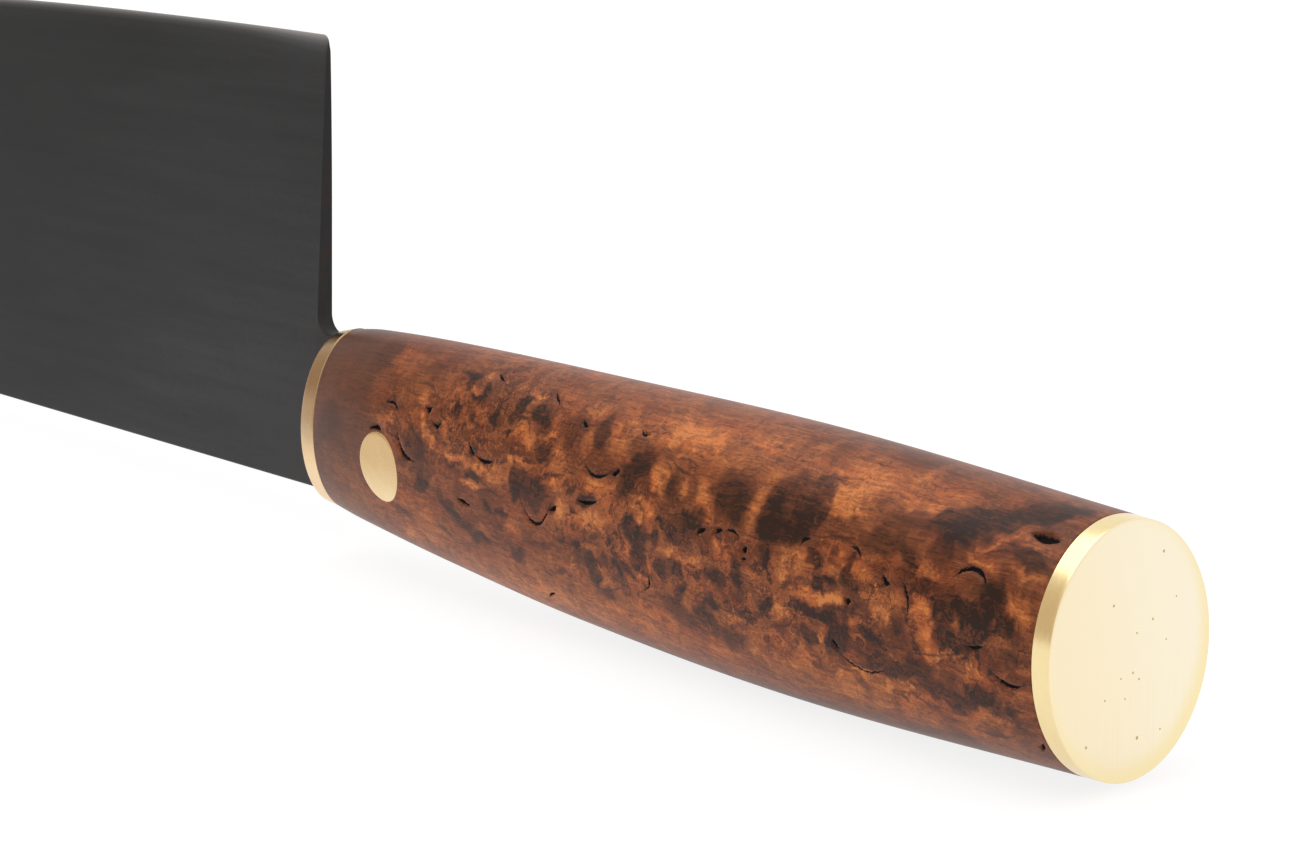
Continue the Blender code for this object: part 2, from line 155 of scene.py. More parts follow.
def full_turn(count):
    """Angles once round, from the bottom line by the far side, the top and the near side."""
    return -math.pi / 2 + 2 * math.pi * np.arange(count) / count


print("bottom point of the butt's oval:", [round(v / MM, 2) for v in oval_ring(0.0, full_turn(4))[0]])


# %% [markdown]
# ## Skins from rings
# Grip, bolster and cap are all made as a stack of rings with faces between them. Writing the points
# and faces out as plain lists is much quicker than adding them one at a time, which matters for the
# fine grip. One face closes the first ring and one the last.


# %% Rings to a mesh
def mesh_piece(name, points, faces, smooth=True):
    mesh = bpy.data.meshes.new(name)
    mesh.from_pydata([tuple(p) for p in points], [], [tuple(f) for f in faces])
    mesh.update()
    if smooth:
        mesh.shade_smooth()
    piece = bpy.data.objects.new(name, mesh)
    bpy.context.scene.collection.objects.link(piece)
    return piece


def ring_faces(ring_count, around):
    """Quads between rings, in the order that leaves their fronts outside."""
    rows = np.arange(ring_count - 1)[:, None] * around
    k = np.arange(around)[None, :]
    after = (k + 1) % around
    corners = [rows + k, rows + after, rows + around + after, rows + around + k]
    return np.stack(corners, axis=-1).reshape(-1, 4)


def stacked(name, rings):
    around = len(rings[0])
    last = (len(rings) - 1) * around
    faces = [tuple(f) for f in ring_faces(len(rings), around)]
    faces += [tuple(range(around))[::-1], tuple(range(last, last + around))]
    return mesh_piece(name, np.concatenate(rings), faces)


# %% [markdown]
# ## Cracks and voids in the burl
# Burl wood grows round countless small buds, and drying opens little crescents between them. They could
# be painted on, but only real dents catch the light at their rims. Each crack is written once, in
# millimetres on the unrolled skin: station, distance round the skin from the top line towards the near
# side, length, width, turn in degrees, and bend. Seen on the near side, a positive turn makes a mark
# rise towards the butt, and a positive bend lets its middle sag. The same list dents the mesh and
# stains the material, so both always agree. Seams are marks of the same kind without any depth.

# %% The list of cracks
CRACKS = [
    (5.2, 5.9, 3.6, 1.05, 0, 0), (10.9, 11.4, 4.4, 0.55, -2, -1.5), (5.3, 19.6, 3.9, 0.4, -4, 0.6),
    (9.2, 17.4, 2.4, 0.35, 14, 0.1), (21.2, 14.3, 1.5, 0.6, -30, 0.4), (25.8, 17.3, 0.7, 0.6, 80, 0),
    (27.8, 22, 1.3, 0.42, -50, 0.2), (3.3, 26, 1.4, 0.45, 58, 0), (32.6, 13.2, 1.7, 0.34, 32, -0.4),
    (25.7, 12.6, 2, 0.28, -22, -0.3), (40.8, 15.7, 1, 0.75, 20, 0), (40.7, 16.6, 0.6, 0.35, 20, 0),
    (47.4, 15.1, 1.6, 0.5, 32, -0.2), (44.9, 14.7, 1.4, 0.5, 18, -0.3), (42.8, 14.5, 2.4, 0.3, -6, -0.5),
    (65.4, 11.8, 5, 0.36, -2, 1.1), (62.5, 11.5, 1.5, 0.7, 25, 0.1), (75.2, 17.2, 6.2, 0.4, 0, 3),
    (72, 16.6, 1.5, 0.6, 25, 0), (66.2, 15, 3.8, 0.5, 6, 0.3), (84.8, 13.3, 3.2, 0.5, -2, 0.4),
    (87.4, 12.6, 2, 0.34, -40, 0.2), (88.8, 18.4, 2.8, 0.42, -14, 0.1), (96.9, 9.2, 1.4, 0.8, 10, 0.3),
    (94.7, 10.6, 1.9, 0.6, 12, 0.6), (100.4, 14, 5.6, 0.45, -38, 1.3), (103.9, 9.6, 2.9, 0.35, -16, -0.5),
    (106.5, 12.5, 2.6, 0.6, -2, -0.5), (76, 27.2, 2.2, 0.4, 26, 0), (76.3, 5.3, 2.6, 0.26, -38, 0),
    (69.8, 7.3, 1.5, 0.45, -20, 0.4), (60.3, 6.9, 1.7, 0.35, -4, 0.4), (87, 4.3, 1.8, 0.3, -25, 0),
    (56.2, 21.8, 2.6, 0.26, 60, 0.6), (24.6, 23.1, 7, 0.22, -3, 1.4), (18.4, 15.2, 3.4, 0.28, -66, -0.5),
]
# Seams: layers that loop round an eye and show as fine dark lines, with no depth
SEAMS = [
    (27.6, 12.3, 6.4, 0.3, -4, -0.9), (17, 24.6, 5, 0.34, -22, 1), (52.4, 9, 4.8, 0.26, -3, -0.6),
    (52.2, 9.7, 5, 0.28, -10, 0.6), (72.3, 13.4, 5, 0.34, 12, -0.4), (26, 18.3, 7, 0.3, 3, 0),
    (98.2, 7, 4.4, 0.4, -12, -0.6), (45, 21.9, 7, 0.3, -8, 0.4), (34.6, 21.3, 4.4, 0.3, 30, 0.8),
    (98.6, 12.2, 8, 0.34, -33, 0), (96.4, 14.2, 3.6, 0.4, -50, 0.5), (79.4, 8.8, 4, 0.3, -30, -1.2),
    (64, 23.6, 7, 0.3, 4, 0.8), (84, 16.8, 6, 0.3, 2, -0.8), (14, 19.2, 9, 0.26, 14, 0.3),
    (8.4, 8.9, 6.4, 0.26, 10, -1.2), (39, 14.3, 5, 0.24, -2, 0), (9, 26.2, 6, 0.3, 8, 0.6),
]
# The far side of the block is as lively: it repeats some of the cracks, turned half round
TURNED_S, TURNED_A = 126.0, -3.0
REPEATED = slice(4, 31, 3)
CRACKS += [
    (TURNED_S - s, TURNED_A - a, length, width, turn, -bend)
    for s, a, length, width, turn, bend in CRACKS[REPEATED]
]
CRACK_DEPTH = 0.35 * MM
print(len(CRACKS), "cracks and voids,", len(SEAMS), "seams")


# %% Where a place lies in a mark
def in_mark(s, a, s0, a0, length, width, turn):
    """How far places lie along and across a turned mark: 1 or -1 at its ends and sides."""
    c, n = math.cos(math.radians(turn)), math.sin(math.radians(turn))
    along = ((s - s0) * c + (a - a0) * n) / (length / 2)
    across = ((a - a0) * c - (s - s0) * n) / (width / 2)
    return along, across


print("the first crack's middle, along and across:", in_mark(*CRACKS[0][:2], *CRACKS[0][:5]))


# %% How deep the skin is at a place
# a crack of the usual width has the full depth, a slim one less, a wide one more, up to a limit
USUAL_WIDTH, DEEPEST = 0.5, 1.6
# how steep its walls are, and how much wider the dent is than the dark mark in it
WALL_STEEPNESS, WIDER = 1.6, 1.3


def crack_depth(s, a):
    """Depth in metres at unrolled places s and a, both in millimetres."""
    depth = np.zeros_like(s)
    for *place, bend in CRACKS:
        width = place[3]
        along, across = in_mark(s, a, *place)
        lens = 1 - along**2
        inside = lens - np.abs(across - bend / (width / 2) * (lens - 0.5)) / WIDER
        full = CRACK_DEPTH * min(width / USUAL_WIDTH, DEEPEST)
        depth = np.maximum(depth, full * np.clip(inside * WALL_STEEPNESS, 0, 1))
    return depth


deepest = max(crack_depth(*np.array(CRACKS)[:, :2].T)) / MM
print("the deepest crack is", round(deepest, 2), "mm deep")


# %% [markdown]
# ## Dark and light places in the stain, and painted light
# Where the grain of a burl stands on end the stain sinks in and turns nearly black; where it lies flat
# it stays orange. Noise alone gives clouds of this kind, but never these ones. So the clouds that make
# this block its own are written here, in the same unrolled millimetres: station, round the skin,
# length, width, turn, strength. A few wide, faint light ones are painted light instead: brighter bands
# along the top and the lower side, as if lit from above and by the floor below. The far side gets them
# too, turned half round. The mesh will carry three numbers per point for them, which costs the
# material nothing, however long the lists grow.

# %% Patches of stain
# station, round the skin, length, width, turn, strength
DARK_PATCHES = [
    # by the butt
    (14.6, 7.4, 6.5, 4.2, 10, 0.62), (9, 4.5, 10, 3, 27, 0.52), (6.5, 2, 6, 3, 15, 0.4),
    (15.2, 10.3, 3.5, 3.4, 0, 0.36), (21, 8.2, 8, 2.2, 5, 0.28), (22.5, 11, 8, 3, 0, 0.34),
    (19, 12.4, 2.6, 2.6, 0, 0.36), (16.4, 13.9, 4, 1.4, 0, 0.58), (7.3, 13.2, 2.8, 4.4, 30, 0.68),
    (11.2, 15.4, 7, 3.2, 0, 0.56), (12.4, 17.3, 4.5, 2.6, 15, 0.52), (5.6, 14.8, 2.6, 1.2, 0, 0.45),
    (4.6, 17.4, 5, 1.8, 0, 0.32), (5.6, 8.3, 7, 1.8, -3, 0.34), (27.2, 20.8, 4, 4.4, -30, 0.5),
    (28.6, 19, 4.5, 1.8, 0, 0.52), (22.6, 20.2, 3.4, 1.4, 0, 0.6), (21.8, 22.4, 6, 2.8, 0, 0.46),
    (19.2, 17.8, 2, 3.4, 0, 0.46), (16.6, 21.6, 4.8, 2.6, 10, 0.44), (13.3, 23.6, 5.4, 2.6, -5, 0.46),
    (9, 21.9, 4.4, 2.4, 20, 0.56), (6.2, 22.8, 2.6, 1.4, 20, 0.4), (26.2, 14.4, 1.5, 3.2, 0, 0.5),
    (28.2, 15.9, 1.6, 1.1, 0, 0.56), (24, 18.2, 6, 0.6, 4, 0.4), (14.5, 27.5, 6, 3.2, 15, 0.28),
    (21.7, 27.4, 3, 1.5, 25, 0.3), (25, 25.8, 2.4, 1.3, 0, 0.34), (5, 24.8, 3.6, 1.6, 15, 0.3),
    # in the palm
    (35.2, 10.6, 7.6, 6.4, 18, 0.85), (32.5, 8.6, 3.2, 4.4, 0, 0.75), (37.7, 12.7, 3.6, 3.2, 0, 0.8),
    (31.4, 6.4, 1.8, 1, 0, 0.5), (37.6, 15.8, 2.4, 2, 25, 0.46), (44.2, 11.2, 6.2, 4.6, -12, 0.46),
    (48.8, 14.3, 3.4, 1.8, 0, 0.62), (41.6, 18.4, 2.2, 2.6, 0, 0.5), (44.8, 19, 3.6, 1.7, 0, 0.44),
    (45.5, 21.5, 2.4, 1.2, 0, 0.46), (37.4, 20.8, 3, 2.6, -35, 0.52), (33.4, 17.3, 3, 1.4, 0, 0.36),
    (30.9, 14.3, 3.2, 1.2, -15, 0.46), (30.4, 16.3, 2.2, 1.3, 40, 0.52), (30.2, 19.2, 5.4, 1.2, 5, 0.56),
    (31.4, 22.1, 3, 1.7, -15, 0.52), (47.4, 24, 5.4, 3.6, -10, 0.5), (43.6, 25.4, 3.6, 2.6, 20, 0.44),
    (31, 25.1, 3.6, 1.2, -15, 0.34), (49.6, 21, 1.4, 1.4, 0, 0.44), (47.4, 6.6, 3.4, 1.4, 0, 0.26),
    (34, 3.4, 3.4, 3, 0, 0.26), (39.2, 5, 2.4, 3, 0, 0.18), (25.6, 1.2, 6, 4, -24, 0.22),
    (55, 0.6, 8, 4, -18, 0.22),
    # in the middle
    (59.6, 10.9, 7.2, 3.6, 56, 0.64), (55.6, 7.9, 3, 1.6, 0, 0.36), (66.4, 7.8, 2.6, 4.6, 0, 0.36),
    (53.2, 11.8, 2.2, 3.8, 0, 0.36), (58, 16.8, 3.8, 2.4, -15, 0.66), (54.7, 16.5, 2, 2.4, 0, 0.52),
    (57.3, 19.4, 2.4, 2.6, 0, 0.56), (61.2, 20.4, 1.9, 1.6, 0, 0.54), (59.5, 20.4, 1.2, 1.2, 30, 0.46),
    (65.6, 22.2, 2.2, 4, 10, 0.52), (63.4, 20.8, 1.3, 2.8, 0, 0.4), (68, 20.2, 2.4, 2.6, 0, 0.4),
    (50.7, 19.2, 1.5, 1.3, 0, 0.54), (50.4, 21.2, 2.6, 1.4, 0, 0.46), (53.6, 20.2, 1.8, 2.2, 30, 0.4),
    (63.8, 24.4, 1.8, 1.2, 0, 0.48), (60.2, 23.7, 1.6, 0.9, 20, 0.4), (57, 24.9, 1.8, 1, 0, 0.34),
    (51.5, 24.2, 7, 3.6, -15, 0.42), (77, 7.6, 3.4, 2.4, -30, 0.5), (74.6, 11, 2.8, 2.4, 0, 0.4),
    (71, 8, 4.2, 6, 0, 0.26), (66.2, 15, 3.6, 1.4, 12, 0.62), (68.7, 14.3, 1.2, 1.6, 0, 0.46),
    (76, 15.2, 6, 3.4, 0, 0.42), (77.8, 14.6, 1.2, 1.4, 0, 0.5), (70.4, 19.4, 3.4, 1.6, 0, 0.34),
    (74.6, 20.6, 7, 1.4, 0, 0.34), (72, 23.4, 4.4, 0.9, 5, 0.36), (64.6, 18, 2, 1.2, 15, 0.42),
    # by the pin
    (91, 5.8, 1.4, 2.4, 0, 0.52), (92, 4.4, 3, 1.2, 0, 0.4), (88.3, 6, 1.9, 2, 0, 0.56),
    (89.4, 7.4, 2.4, 1.2, 0, 0.46), (81.3, 7.1, 1.9, 3.4, 0, 0.64), (91.7, 8.9, 1.3, 1.6, 0, 0.56),
    (89, 9.4, 1.3, 1.4, 0, 0.5), (84.4, 8.6, 1.6, 1.5, 0, 0.56), (81.4, 10.4, 1.5, 1.6, 0, 0.54),
    (84.2, 4.4, 2.4, 1.6, 0, 0.4), (87.4, 12.3, 1.6, 1.6, 0, 0.56), (79, 15.2, 2.4, 2.6, 0, 0.56),
    (78.6, 6.8, 1.6, 1.2, 0, 0.5), (91.2, 14.4, 2.4, 1.1, 0, 0.42), (86.6, 14.9, 2.4, 1, 0, 0.5),
    (97, 17.2, 2.8, 2.2, 0, 0.46), (92.4, 19.2, 4.4, 1.8, -30, 0.44), (89.6, 21, 4.4, 1.8, -25, 0.42),
    (86.2, 22.1, 2.6, 1.2, 0, 0.4), (79.6, 22.9, 4, 2, 20, 0.44), (84.2, 18.4, 1.8, 1.6, 0, 0.42),
    (81.4, 18.5, 3, 0.8, 8, 0.4), (102.8, 21.6, 5.4, 1.6, -20, 0.42), (93.6, 22.6, 3.2, 1.2, -35, 0.34),
    (98, 13.6, 5, 3, -30, 0.34), (103.6, 9.8, 3, 0.8, -20, 0.46), (109, 4, 4, 6, 0, 0.24),
    (98.6, 4.6, 3, 2.4, 0, 0.2), (116.8, 12.4, 6.5, 5, 0, 0.36), (116, 4, 12, 9, 0, 0.2),
    # wide and faint
    (10.5, 14, 9, 6, 0, 0.22), (25, 16.2, 5, 3.4, 0, 0.28), (100, 4, 14, 6, 0, 0.14),
]
# pale patches of stain; the wide and faint ones at the end are painted light
PALE_PATCHES_AND_PAINTED_LIGHT = [
    # by the butt
    (28.3, 8.2, 4.2, 3.2, 0, 0.42), (27.5, 5.6, 5.5, 2.6, 0, 0.34), (20.7, 6.5, 5, 1.5, 5, 0.38),
    (21, 4.4, 5, 2.2, -5, 0.24), (17, 3.8, 3, 2.4, 0, 0.22), (5.6, 7.2, 6.5, 0.8, 12, 0.3),
    (9.2, 7.7, 6, 0.6, 33, 0.4), (10.7, 10, 4, 0.9, -3, 0.44), (15.6, 12.5, 3.4, 1.3, -20, 0.42),
    (4.6, 9.8, 4.5, 1, 0, 0.36), (4.4, 13, 4.2, 2.4, -15, 0.5), (16.2, 17.2, 2.8, 5.4, 15, 0.46),
    (21.4, 16.5, 3.6, 2.4, 0, 0.46), (28.4, 17.5, 4, 1.5, 5, 0.5), (27.3, 14.5, 1.4, 1.8, 0, 0.36),
    (24, 14.6, 2.4, 2.2, 0, 0.4), (24.5, 19.6, 2.8, 1.1, 10, 0.36), (11.8, 16.1, 1, 0.9, 0, 0.44),
    (7.4, 14.8, 0.9, 0.9, 0, 0.44), (10.2, 19.7, 4.4, 1.8, 5, 0.36), (12.6, 18.8, 5.2, 0.6, 20, 0.42),
    (24, 24.4, 9, 1.5, 6, 0.42), (29.4, 21, 1.6, 2.4, 0, 0.36), (19.2, 23.8, 2, 1, 0, 0.34),
    (12.6, 27.1, 2.6, 1.5, 10, 0.3), (8, 24.2, 4, 1.2, 0, 0.28), (28, 27.6, 4, 2, 20, 0.34),
    (24.5, 28.2, 2.8, 1.2, 20, 0.34), (3.5, 17.9, 1.8, 0.9, 0, 0.4), (4, 20.4, 3, 0.8, 0, 0.26),
    # in the palm
    (29, 5.2, 6.5, 4.2, 0, 0.36), (29.2, 8.4, 4.6, 3, 0, 0.46), (40.2, 11.6, 1.9, 5.4, -5, 0.42),
    (47.9, 12, 4.6, 1.7, -54, 0.54), (49.4, 5.8, 2, 2.4, 0, 0.36), (42.8, 5.2, 5, 2, 0, 0.3),
    (39, 9.2, 2, 2.4, 0, 0.28), (33.7, 15.2, 4, 3.2, 0, 0.46), (30, 17.7, 6.4, 1.2, 5, 0.5),
    (44.3, 16.4, 3.6, 1.8, 10, 0.48), (39.4, 18.1, 2.8, 0.9, 2, 0.6), (48.6, 18.4, 3.6, 1.6, 12, 0.5),
    (43.2, 22.4, 4.2, 2, 18, 0.46), (40.2, 19.2, 1.6, 1, 0, 0.4), (35.4, 20.4, 3.6, 2, 38, 0.46),
    (29.8, 21, 2, 2, 0, 0.42), (28, 24.4, 8, 1.4, -8, 0.44), (33.4, 23.3, 2.4, 2.4, 0, 0.36),
    (33, 27.1, 3.4, 1.6, 30, 0.46), (40.4, 26.2, 2, 1.6, 20, 0.36), (47, 27.5, 4.4, 1.6, 15, 0.3),
    (48.6, 25, 1.8, 1, 0, 0.3),
    # in the middle
    (54.6, 6.2, 12, 3.2, 0, 0.42), (63.2, 7.6, 3.4, 5, 0, 0.44), (69, 5.6, 4, 2, 0, 0.36),
    (68.6, 9, 2.2, 2.6, 0, 0.3), (55.4, 11.2, 2.4, 3.2, 10, 0.6), (51.2, 11.4, 1, 2.6, 0, 0.38),
    (64.6, 13.2, 5.6, 1.6, 0, 0.46), (72.2, 11.9, 3.2, 1.8, 0, 0.4), (72.4, 13.7, 5, 0.8, 12, 0.46),
    (71.2, 14.2, 1.8, 0.9, 0, 0.44), (65.8, 16.6, 7, 1.1, 5, 0.36), (70.6, 16.8, 3, 2, -25, 0.46),
    (57.2, 14.8, 4, 2.2, -20, 0.42), (51, 17.9, 5.6, 1.4, 5, 0.54), (59.6, 18.6, 1.8, 1.4, 0, 0.4),
    (57.2, 21.6, 2.4, 1, 0, 0.46), (55.8, 20, 0.7, 1.6, 0, 0.4), (65.4, 20, 2.6, 0.8, 0, 0.4),
    (64.4, 23.2, 1.4, 1.3, 0, 0.42), (49.8, 22.8, 2, 1.6, 30, 0.4), (79, 19.8, 2.6, 2, 0, 0.36),
    (71.6, 22.4, 8, 0.9, 0, 0.26), (62, 26.3, 10, 2, 0, 0.34), (74.6, 9.5, 2.2, 1.1, 25, 0.46),
    (77.2, 10.4, 2.4, 1.4, 0, 0.44), (78, 12.9, 4.4, 0.8, 0, 0.42), (76, 27.4, 9, 3, 0, 0.3),
    # by the pin
    (104.2, 4.4, 4.6, 3.6, -50, 0.22), (96.2, 11.6, 5.4, 1.4, -33, 0.54), (91.6, 13.5, 7, 1.2, -8, 0.5),
    (85.6, 14.1, 5.4, 0.9, -3, 0.46), (87.3, 16.3, 3.8, 1, -3, 0.85), (82.6, 15.2, 4, 1.8, 0, 0.44),
    (90.1, 6.3, 1.1, 0.9, 0, 0.5), (79.4, 9.8, 2.8, 1.8, 0, 0.44), (93, 10.4, 1.6, 2, 0, 0.36),
    (86.4, 9.1, 1.8, 1.2, 0, 0.34), (79.8, 12.7, 3.4, 1, 0, 0.46), (93.2, 7, 1.9, 1.2, 0, 0.38),
    (79, 5.4, 2.2, 1.6, 0, 0.34), (79.4, 19.9, 3.4, 1.6, 0, 0.38), (86, 20.7, 2, 1.4, 0, 0.32),
    (97, 21.2, 4, 1.1, 0, 0.3), (98.4, 8.4, 2.4, 1.4, 0, 0.36), (105.2, 11.6, 4, 1.2, 0, 0.36),
    (88.8, 4.2, 2, 1, 0, 0.34), (100.5, 24.8, 7, 2, 0, 0.26), (84, 27.6, 4, 2, 0, 0.3),
    # wide and faint: painted light, brighter bands along the top and the lower side, as if lit from above
    # and by the floor below
    (45, 5.5, 60, 8, 0, 0.18), (52, 7, 12, 5, 0, 0.12), (68, 27.5, 84, 9, 0, 0.32),
    (105, 22, 26, 8, 0, 0.20), (18, 25, 26, 6, 0, 0.14), (70, 0, 60, 4, 0, 0.16),
    (40, 5.5, 60, 5, 0, 0.12), (24, 26, 24, 6, 0, 0.18), (8, 28.5, 10, 5, 0, 0.18),
    (78, 28.5, 28, 6, 0, 0.24), (102, 22.5, 14, 7, 0, 0.18), (77, 20, 20, 4, 0, 0.10),
    (115, 22, 10, 12, 0, 0.40),
]
# Zones of burl eyes, where the figure is small and wild
BURL_ZONES = [
    (86.0, 8.5, 24.0, 13.0, 4, 1.0),
    (75.0, 11.0, 14.0, 11.0, 0, 0.8),
    (58.0, 18.5, 30.0, 13.0, 0, 1.0),
    (40.0, 20.5, 26.0, 13.0, 0, 1.0),
    (18.0, 19.5, 36.0, 15.0, 0, 1.0),
    (100.0, 14.0, 14.0, 11.0, -20, 0.6),
]
print(len(DARK_PATCHES), "dark and", len(PALE_PATCHES_AND_PAINTED_LIGHT), "light patches")


# %% How strong the patches are at a place
# a patch is full up to this far short of its border, and gone as far past it
PATCH_FADE = 0.5


def wandering(s, a, step, amount):
    """Places pushed about smoothly, so that no patch keeps an even border."""
    pushes = [noise_vector(Vector((x / step, y / step, 0.0))) for x, y in zip(s, a)]
    pushes = np.array(pushes)[:, :2] * amount
    return s + pushes[:, 0], a + pushes[:, 1]


def patch_strength(s, a, patches):
    """Patches that overlap add up softly and never pass 1."""
    left = np.ones_like(s)
    for *place, strength in patches:
        along, across = in_mark(s, a, *place)
        t = np.clip(1 + PATCH_FADE - np.hypot(along, across), 0, 1)
        left *= 1 - strength * t * t * (3 - 2 * t)
    return 1 - left


palm_spot = np.array([35.2]), np.array([10.6])
print("strength of the dark in the palm:", patch_strength(*palm_spot, DARK_PATCHES).round(2))


# %% [markdown]
# ## The grip
# The grip is one block of burl, shaped to sit full in the palm and slim at the blade. A subdivided
# cage could give that form, but rings taken from the handle's own curve follow it exactly. They lie a
# quarter of a millimetre apart, so that the cracks are real dents. Each face corner also keeps its
# unrolled place in a map called *unrolled*, which the material reads to find the cracks again. The map
# is kept per corner so that its seam, along the bottom line, stays clean.

# %% The grip's skin
GRIP_ROWS, GRIP_AROUND = 480, 330
# both end rims are eased by a small round, with one more ring part of the way along it
EDGE_EASE = 0.12 * MM
EASE_RING = 0.3 * EDGE_EASE
turns = full_turn(GRIP_AROUND)
inner = np.linspace(CAP_THICKNESS + EDGE_EASE, BRASS_FROM - EDGE_EASE, GRIP_ROWS)
grip_stations = [CAP_THICKNESS, CAP_THICKNESS + EASE_RING, *inner, BRASS_FROM - EASE_RING, BRASS_FROM]

rings, places = [], []
for s in grip_stations:
    from_end = min(s - CAP_THICKNESS, BRASS_FROM - s)
    ease = EDGE_EASE - math.sqrt(max(EDGE_EASE**2 - max(EDGE_EASE - from_end, 0.0) ** 2, 0.0))
    ring = oval_ring(s, turns, ease)
    loop = np.vstack([ring, ring[:1]])
    run = np.concatenate([[0.0], np.cumsum(np.linalg.norm(np.diff(loop, axis=0), axis=1))])
    around = (run - run[-1] / 2) / MM
    centre = np.array([0.0, 0.0, smooth_through(3, s)])
    inward = centre - ring * (0, 1, 1)
    inward /= np.linalg.norm(inward, axis=1)[:, None]
    rings.append(ring + inward * crack_depth(np.full(GRIP_AROUND, s / MM), around[:-1])[:, None])
    places.append(np.stack([np.full(GRIP_AROUND + 1, s / MM), around], axis=1))
grip = stacked("burl_grip", rings)
print("grip:", len(grip.data.vertices), "points")

# %% The unrolled map, corner by corner
places = np.array(places)
unrolled = grip.data.uv_layers.new(name="unrolled")
ring_count = len(rings)
i = np.repeat(np.arange(ring_count - 1), GRIP_AROUND)
k = np.tile(np.arange(GRIP_AROUND), ring_count - 1)
corners = np.stack([places[i, k], places[i, k + 1], places[i + 1, k + 1], places[i + 1, k]], axis=1)
ends = np.concatenate([places[0, :-1][::-1], places[-1, :-1]])
unrolled.data.foreach_set("uv", np.concatenate([corners.reshape(-1, 2), ends]).ravel())
print("unrolled map:", len(unrolled.data), "corners")

# %% [markdown]
# ### Fraying the stain
# Stain creeps along the grain, so no cloud has an even border. Each point of the skin is pushed about
# by three sizes of smooth noise before it asks how strong the patches are, from wide waves down to
# fine tatters. The seed is fixed, so that the knife comes out the same each time; this one keeps the
# wide waves small and the clouds near their written places.

# %% Stain strengths, point by point
WANDER_SEED = 369
# width of the waves and reach of the push, in millimetres
WANDERS = ((5.0, 0.8), (1.6, 0.8), (0.6, 0.45))
STAIN_AND_LIGHT_LAYERS = {"dark_stain": DARK_PATCHES, "pale_stain_and_painted_light": PALE_PATCHES_AND_PAINTED_LIGHT, "burl_zone": BURL_ZONES}
seed_set(WANDER_SEED)
point_s, point_a = places[:, :-1, 0].ravel(), places[:, :-1, 1].ravel()
for step, amount in WANDERS:
    point_s, point_a = wandering(point_s, point_a, step, amount)
for name, patches in STAIN_AND_LIGHT_LAYERS.items():
    far_side = [(TURNED_S - s, TURNED_A - a, *rest) for s, a, *rest in patches]
    strength = patch_strength(point_s, point_a, patches + far_side)
    grip.data.attributes.new(name, "FLOAT", "POINT").data.foreach_set("value", strength.astype(np.float32))
    print(name, "covers", round(100 * float((strength > 0.05).mean())), "% of the skin")

# %% [markdown]
# ## Rooms inside the grip
# The tang, its bed of resin, the cross pin and two dowels fill rooms in the wood. Without them the
# fine skin would be a solid block with other solids stuck in it. They are cut here as in the real
# block, with Boolean modifiers and the manifold solver, which is quick on closed meshes of this size.
# The cutters are simple closed bars, taken out one after the other.

# %% Sizes of the rooms
TANG_END = 0.0520
TANG_HALF = 0.0010
TANG_END_HEIGHT, TANG_ROOT_HEIGHT = 0.0045, 0.0058
BED_SIZE = 0.0011
DOWEL_RISES, DOWEL_RADIUS, DOWEL_END = (0.0060, -0.0060), 0.0015, 0.0122
# how far the pin's, the dowels' and the tang's cutters run out into the air
PIN_CUT, DOWEL_CUT, OVER = 0.0200, 0.0010, 0.0030
print("the tang ends", round((HANDLE_LENGTH - TANG_END) / MM), "mm inside the handle")


# %% Bars
def bar(points_low, points_high):
    """Points and faces of a closed bar between two outlines of equal count."""
    n = len(points_low)
    sides = [(k, (k + 1) % n, n + (k + 1) % n, n + k) for k in range(n)]
    return list(points_low) + list(points_high), sides + [tuple(range(n))[::-1], tuple(range(n, 2 * n))]


def tang_outline(s, grown, half_height):
    y, z = TANG_HALF + grown, half_height + grown
    return [(-s, -y, PIN_RISE - z), (-s, y, PIN_RISE - z), (-s, y, PIN_RISE + z), (-s, -y, PIN_RISE + z)]


def round_bar(start, end, radius, axis, sides=64):
    a, b = Vector(start), Vector(end)
    u = axis.orthogonal().normalized()
    v = axis.cross(u)
    angles = np.linspace(0, 2 * math.pi, sides, endpoint=False)
    ring = [radius * (u * math.cos(t) + v * math.sin(t)) for t in angles]
    return bar([a + p for p in ring], [b + p for p in ring])


# %% The cutters
along_x, along_y = Vector((1, 0, 0)), Vector((0, 1, 0))
pin_ends = [(-PIN_STATION, y, PIN_RISE) for y in (PIN_CUT, -PIN_CUT)]
pin_cutter = round_bar(*pin_ends, PIN_RADIUS, along_y)
pocket = bar(
    tang_outline(TANG_END - BED_SIZE, BED_SIZE, TANG_END_HEIGHT),
    tang_outline(BOLSTER_BACK + OVER, BED_SIZE, TANG_ROOT_HEIGHT),
)
dowel_rooms = [
    round_bar((DOWEL_CUT, 0, z), (-DOWEL_END, 0, z), DOWEL_RADIUS, along_x) for z in DOWEL_RISES
]
cutters = [pocket, pin_cutter] + dowel_rooms
print(len(cutters), "cutters with", sum(len(points) for points, _ in cutters), "points")


# %% The cut
def turn_outward(mesh):
    """Turns every face of a closed mesh so that its front is outside."""
    bm = bmesh.new()
    bm.from_mesh(mesh)
    bmesh.ops.recalc_face_normals(bm, faces=bm.faces)
    bm.to_mesh(mesh)
    bm.free()


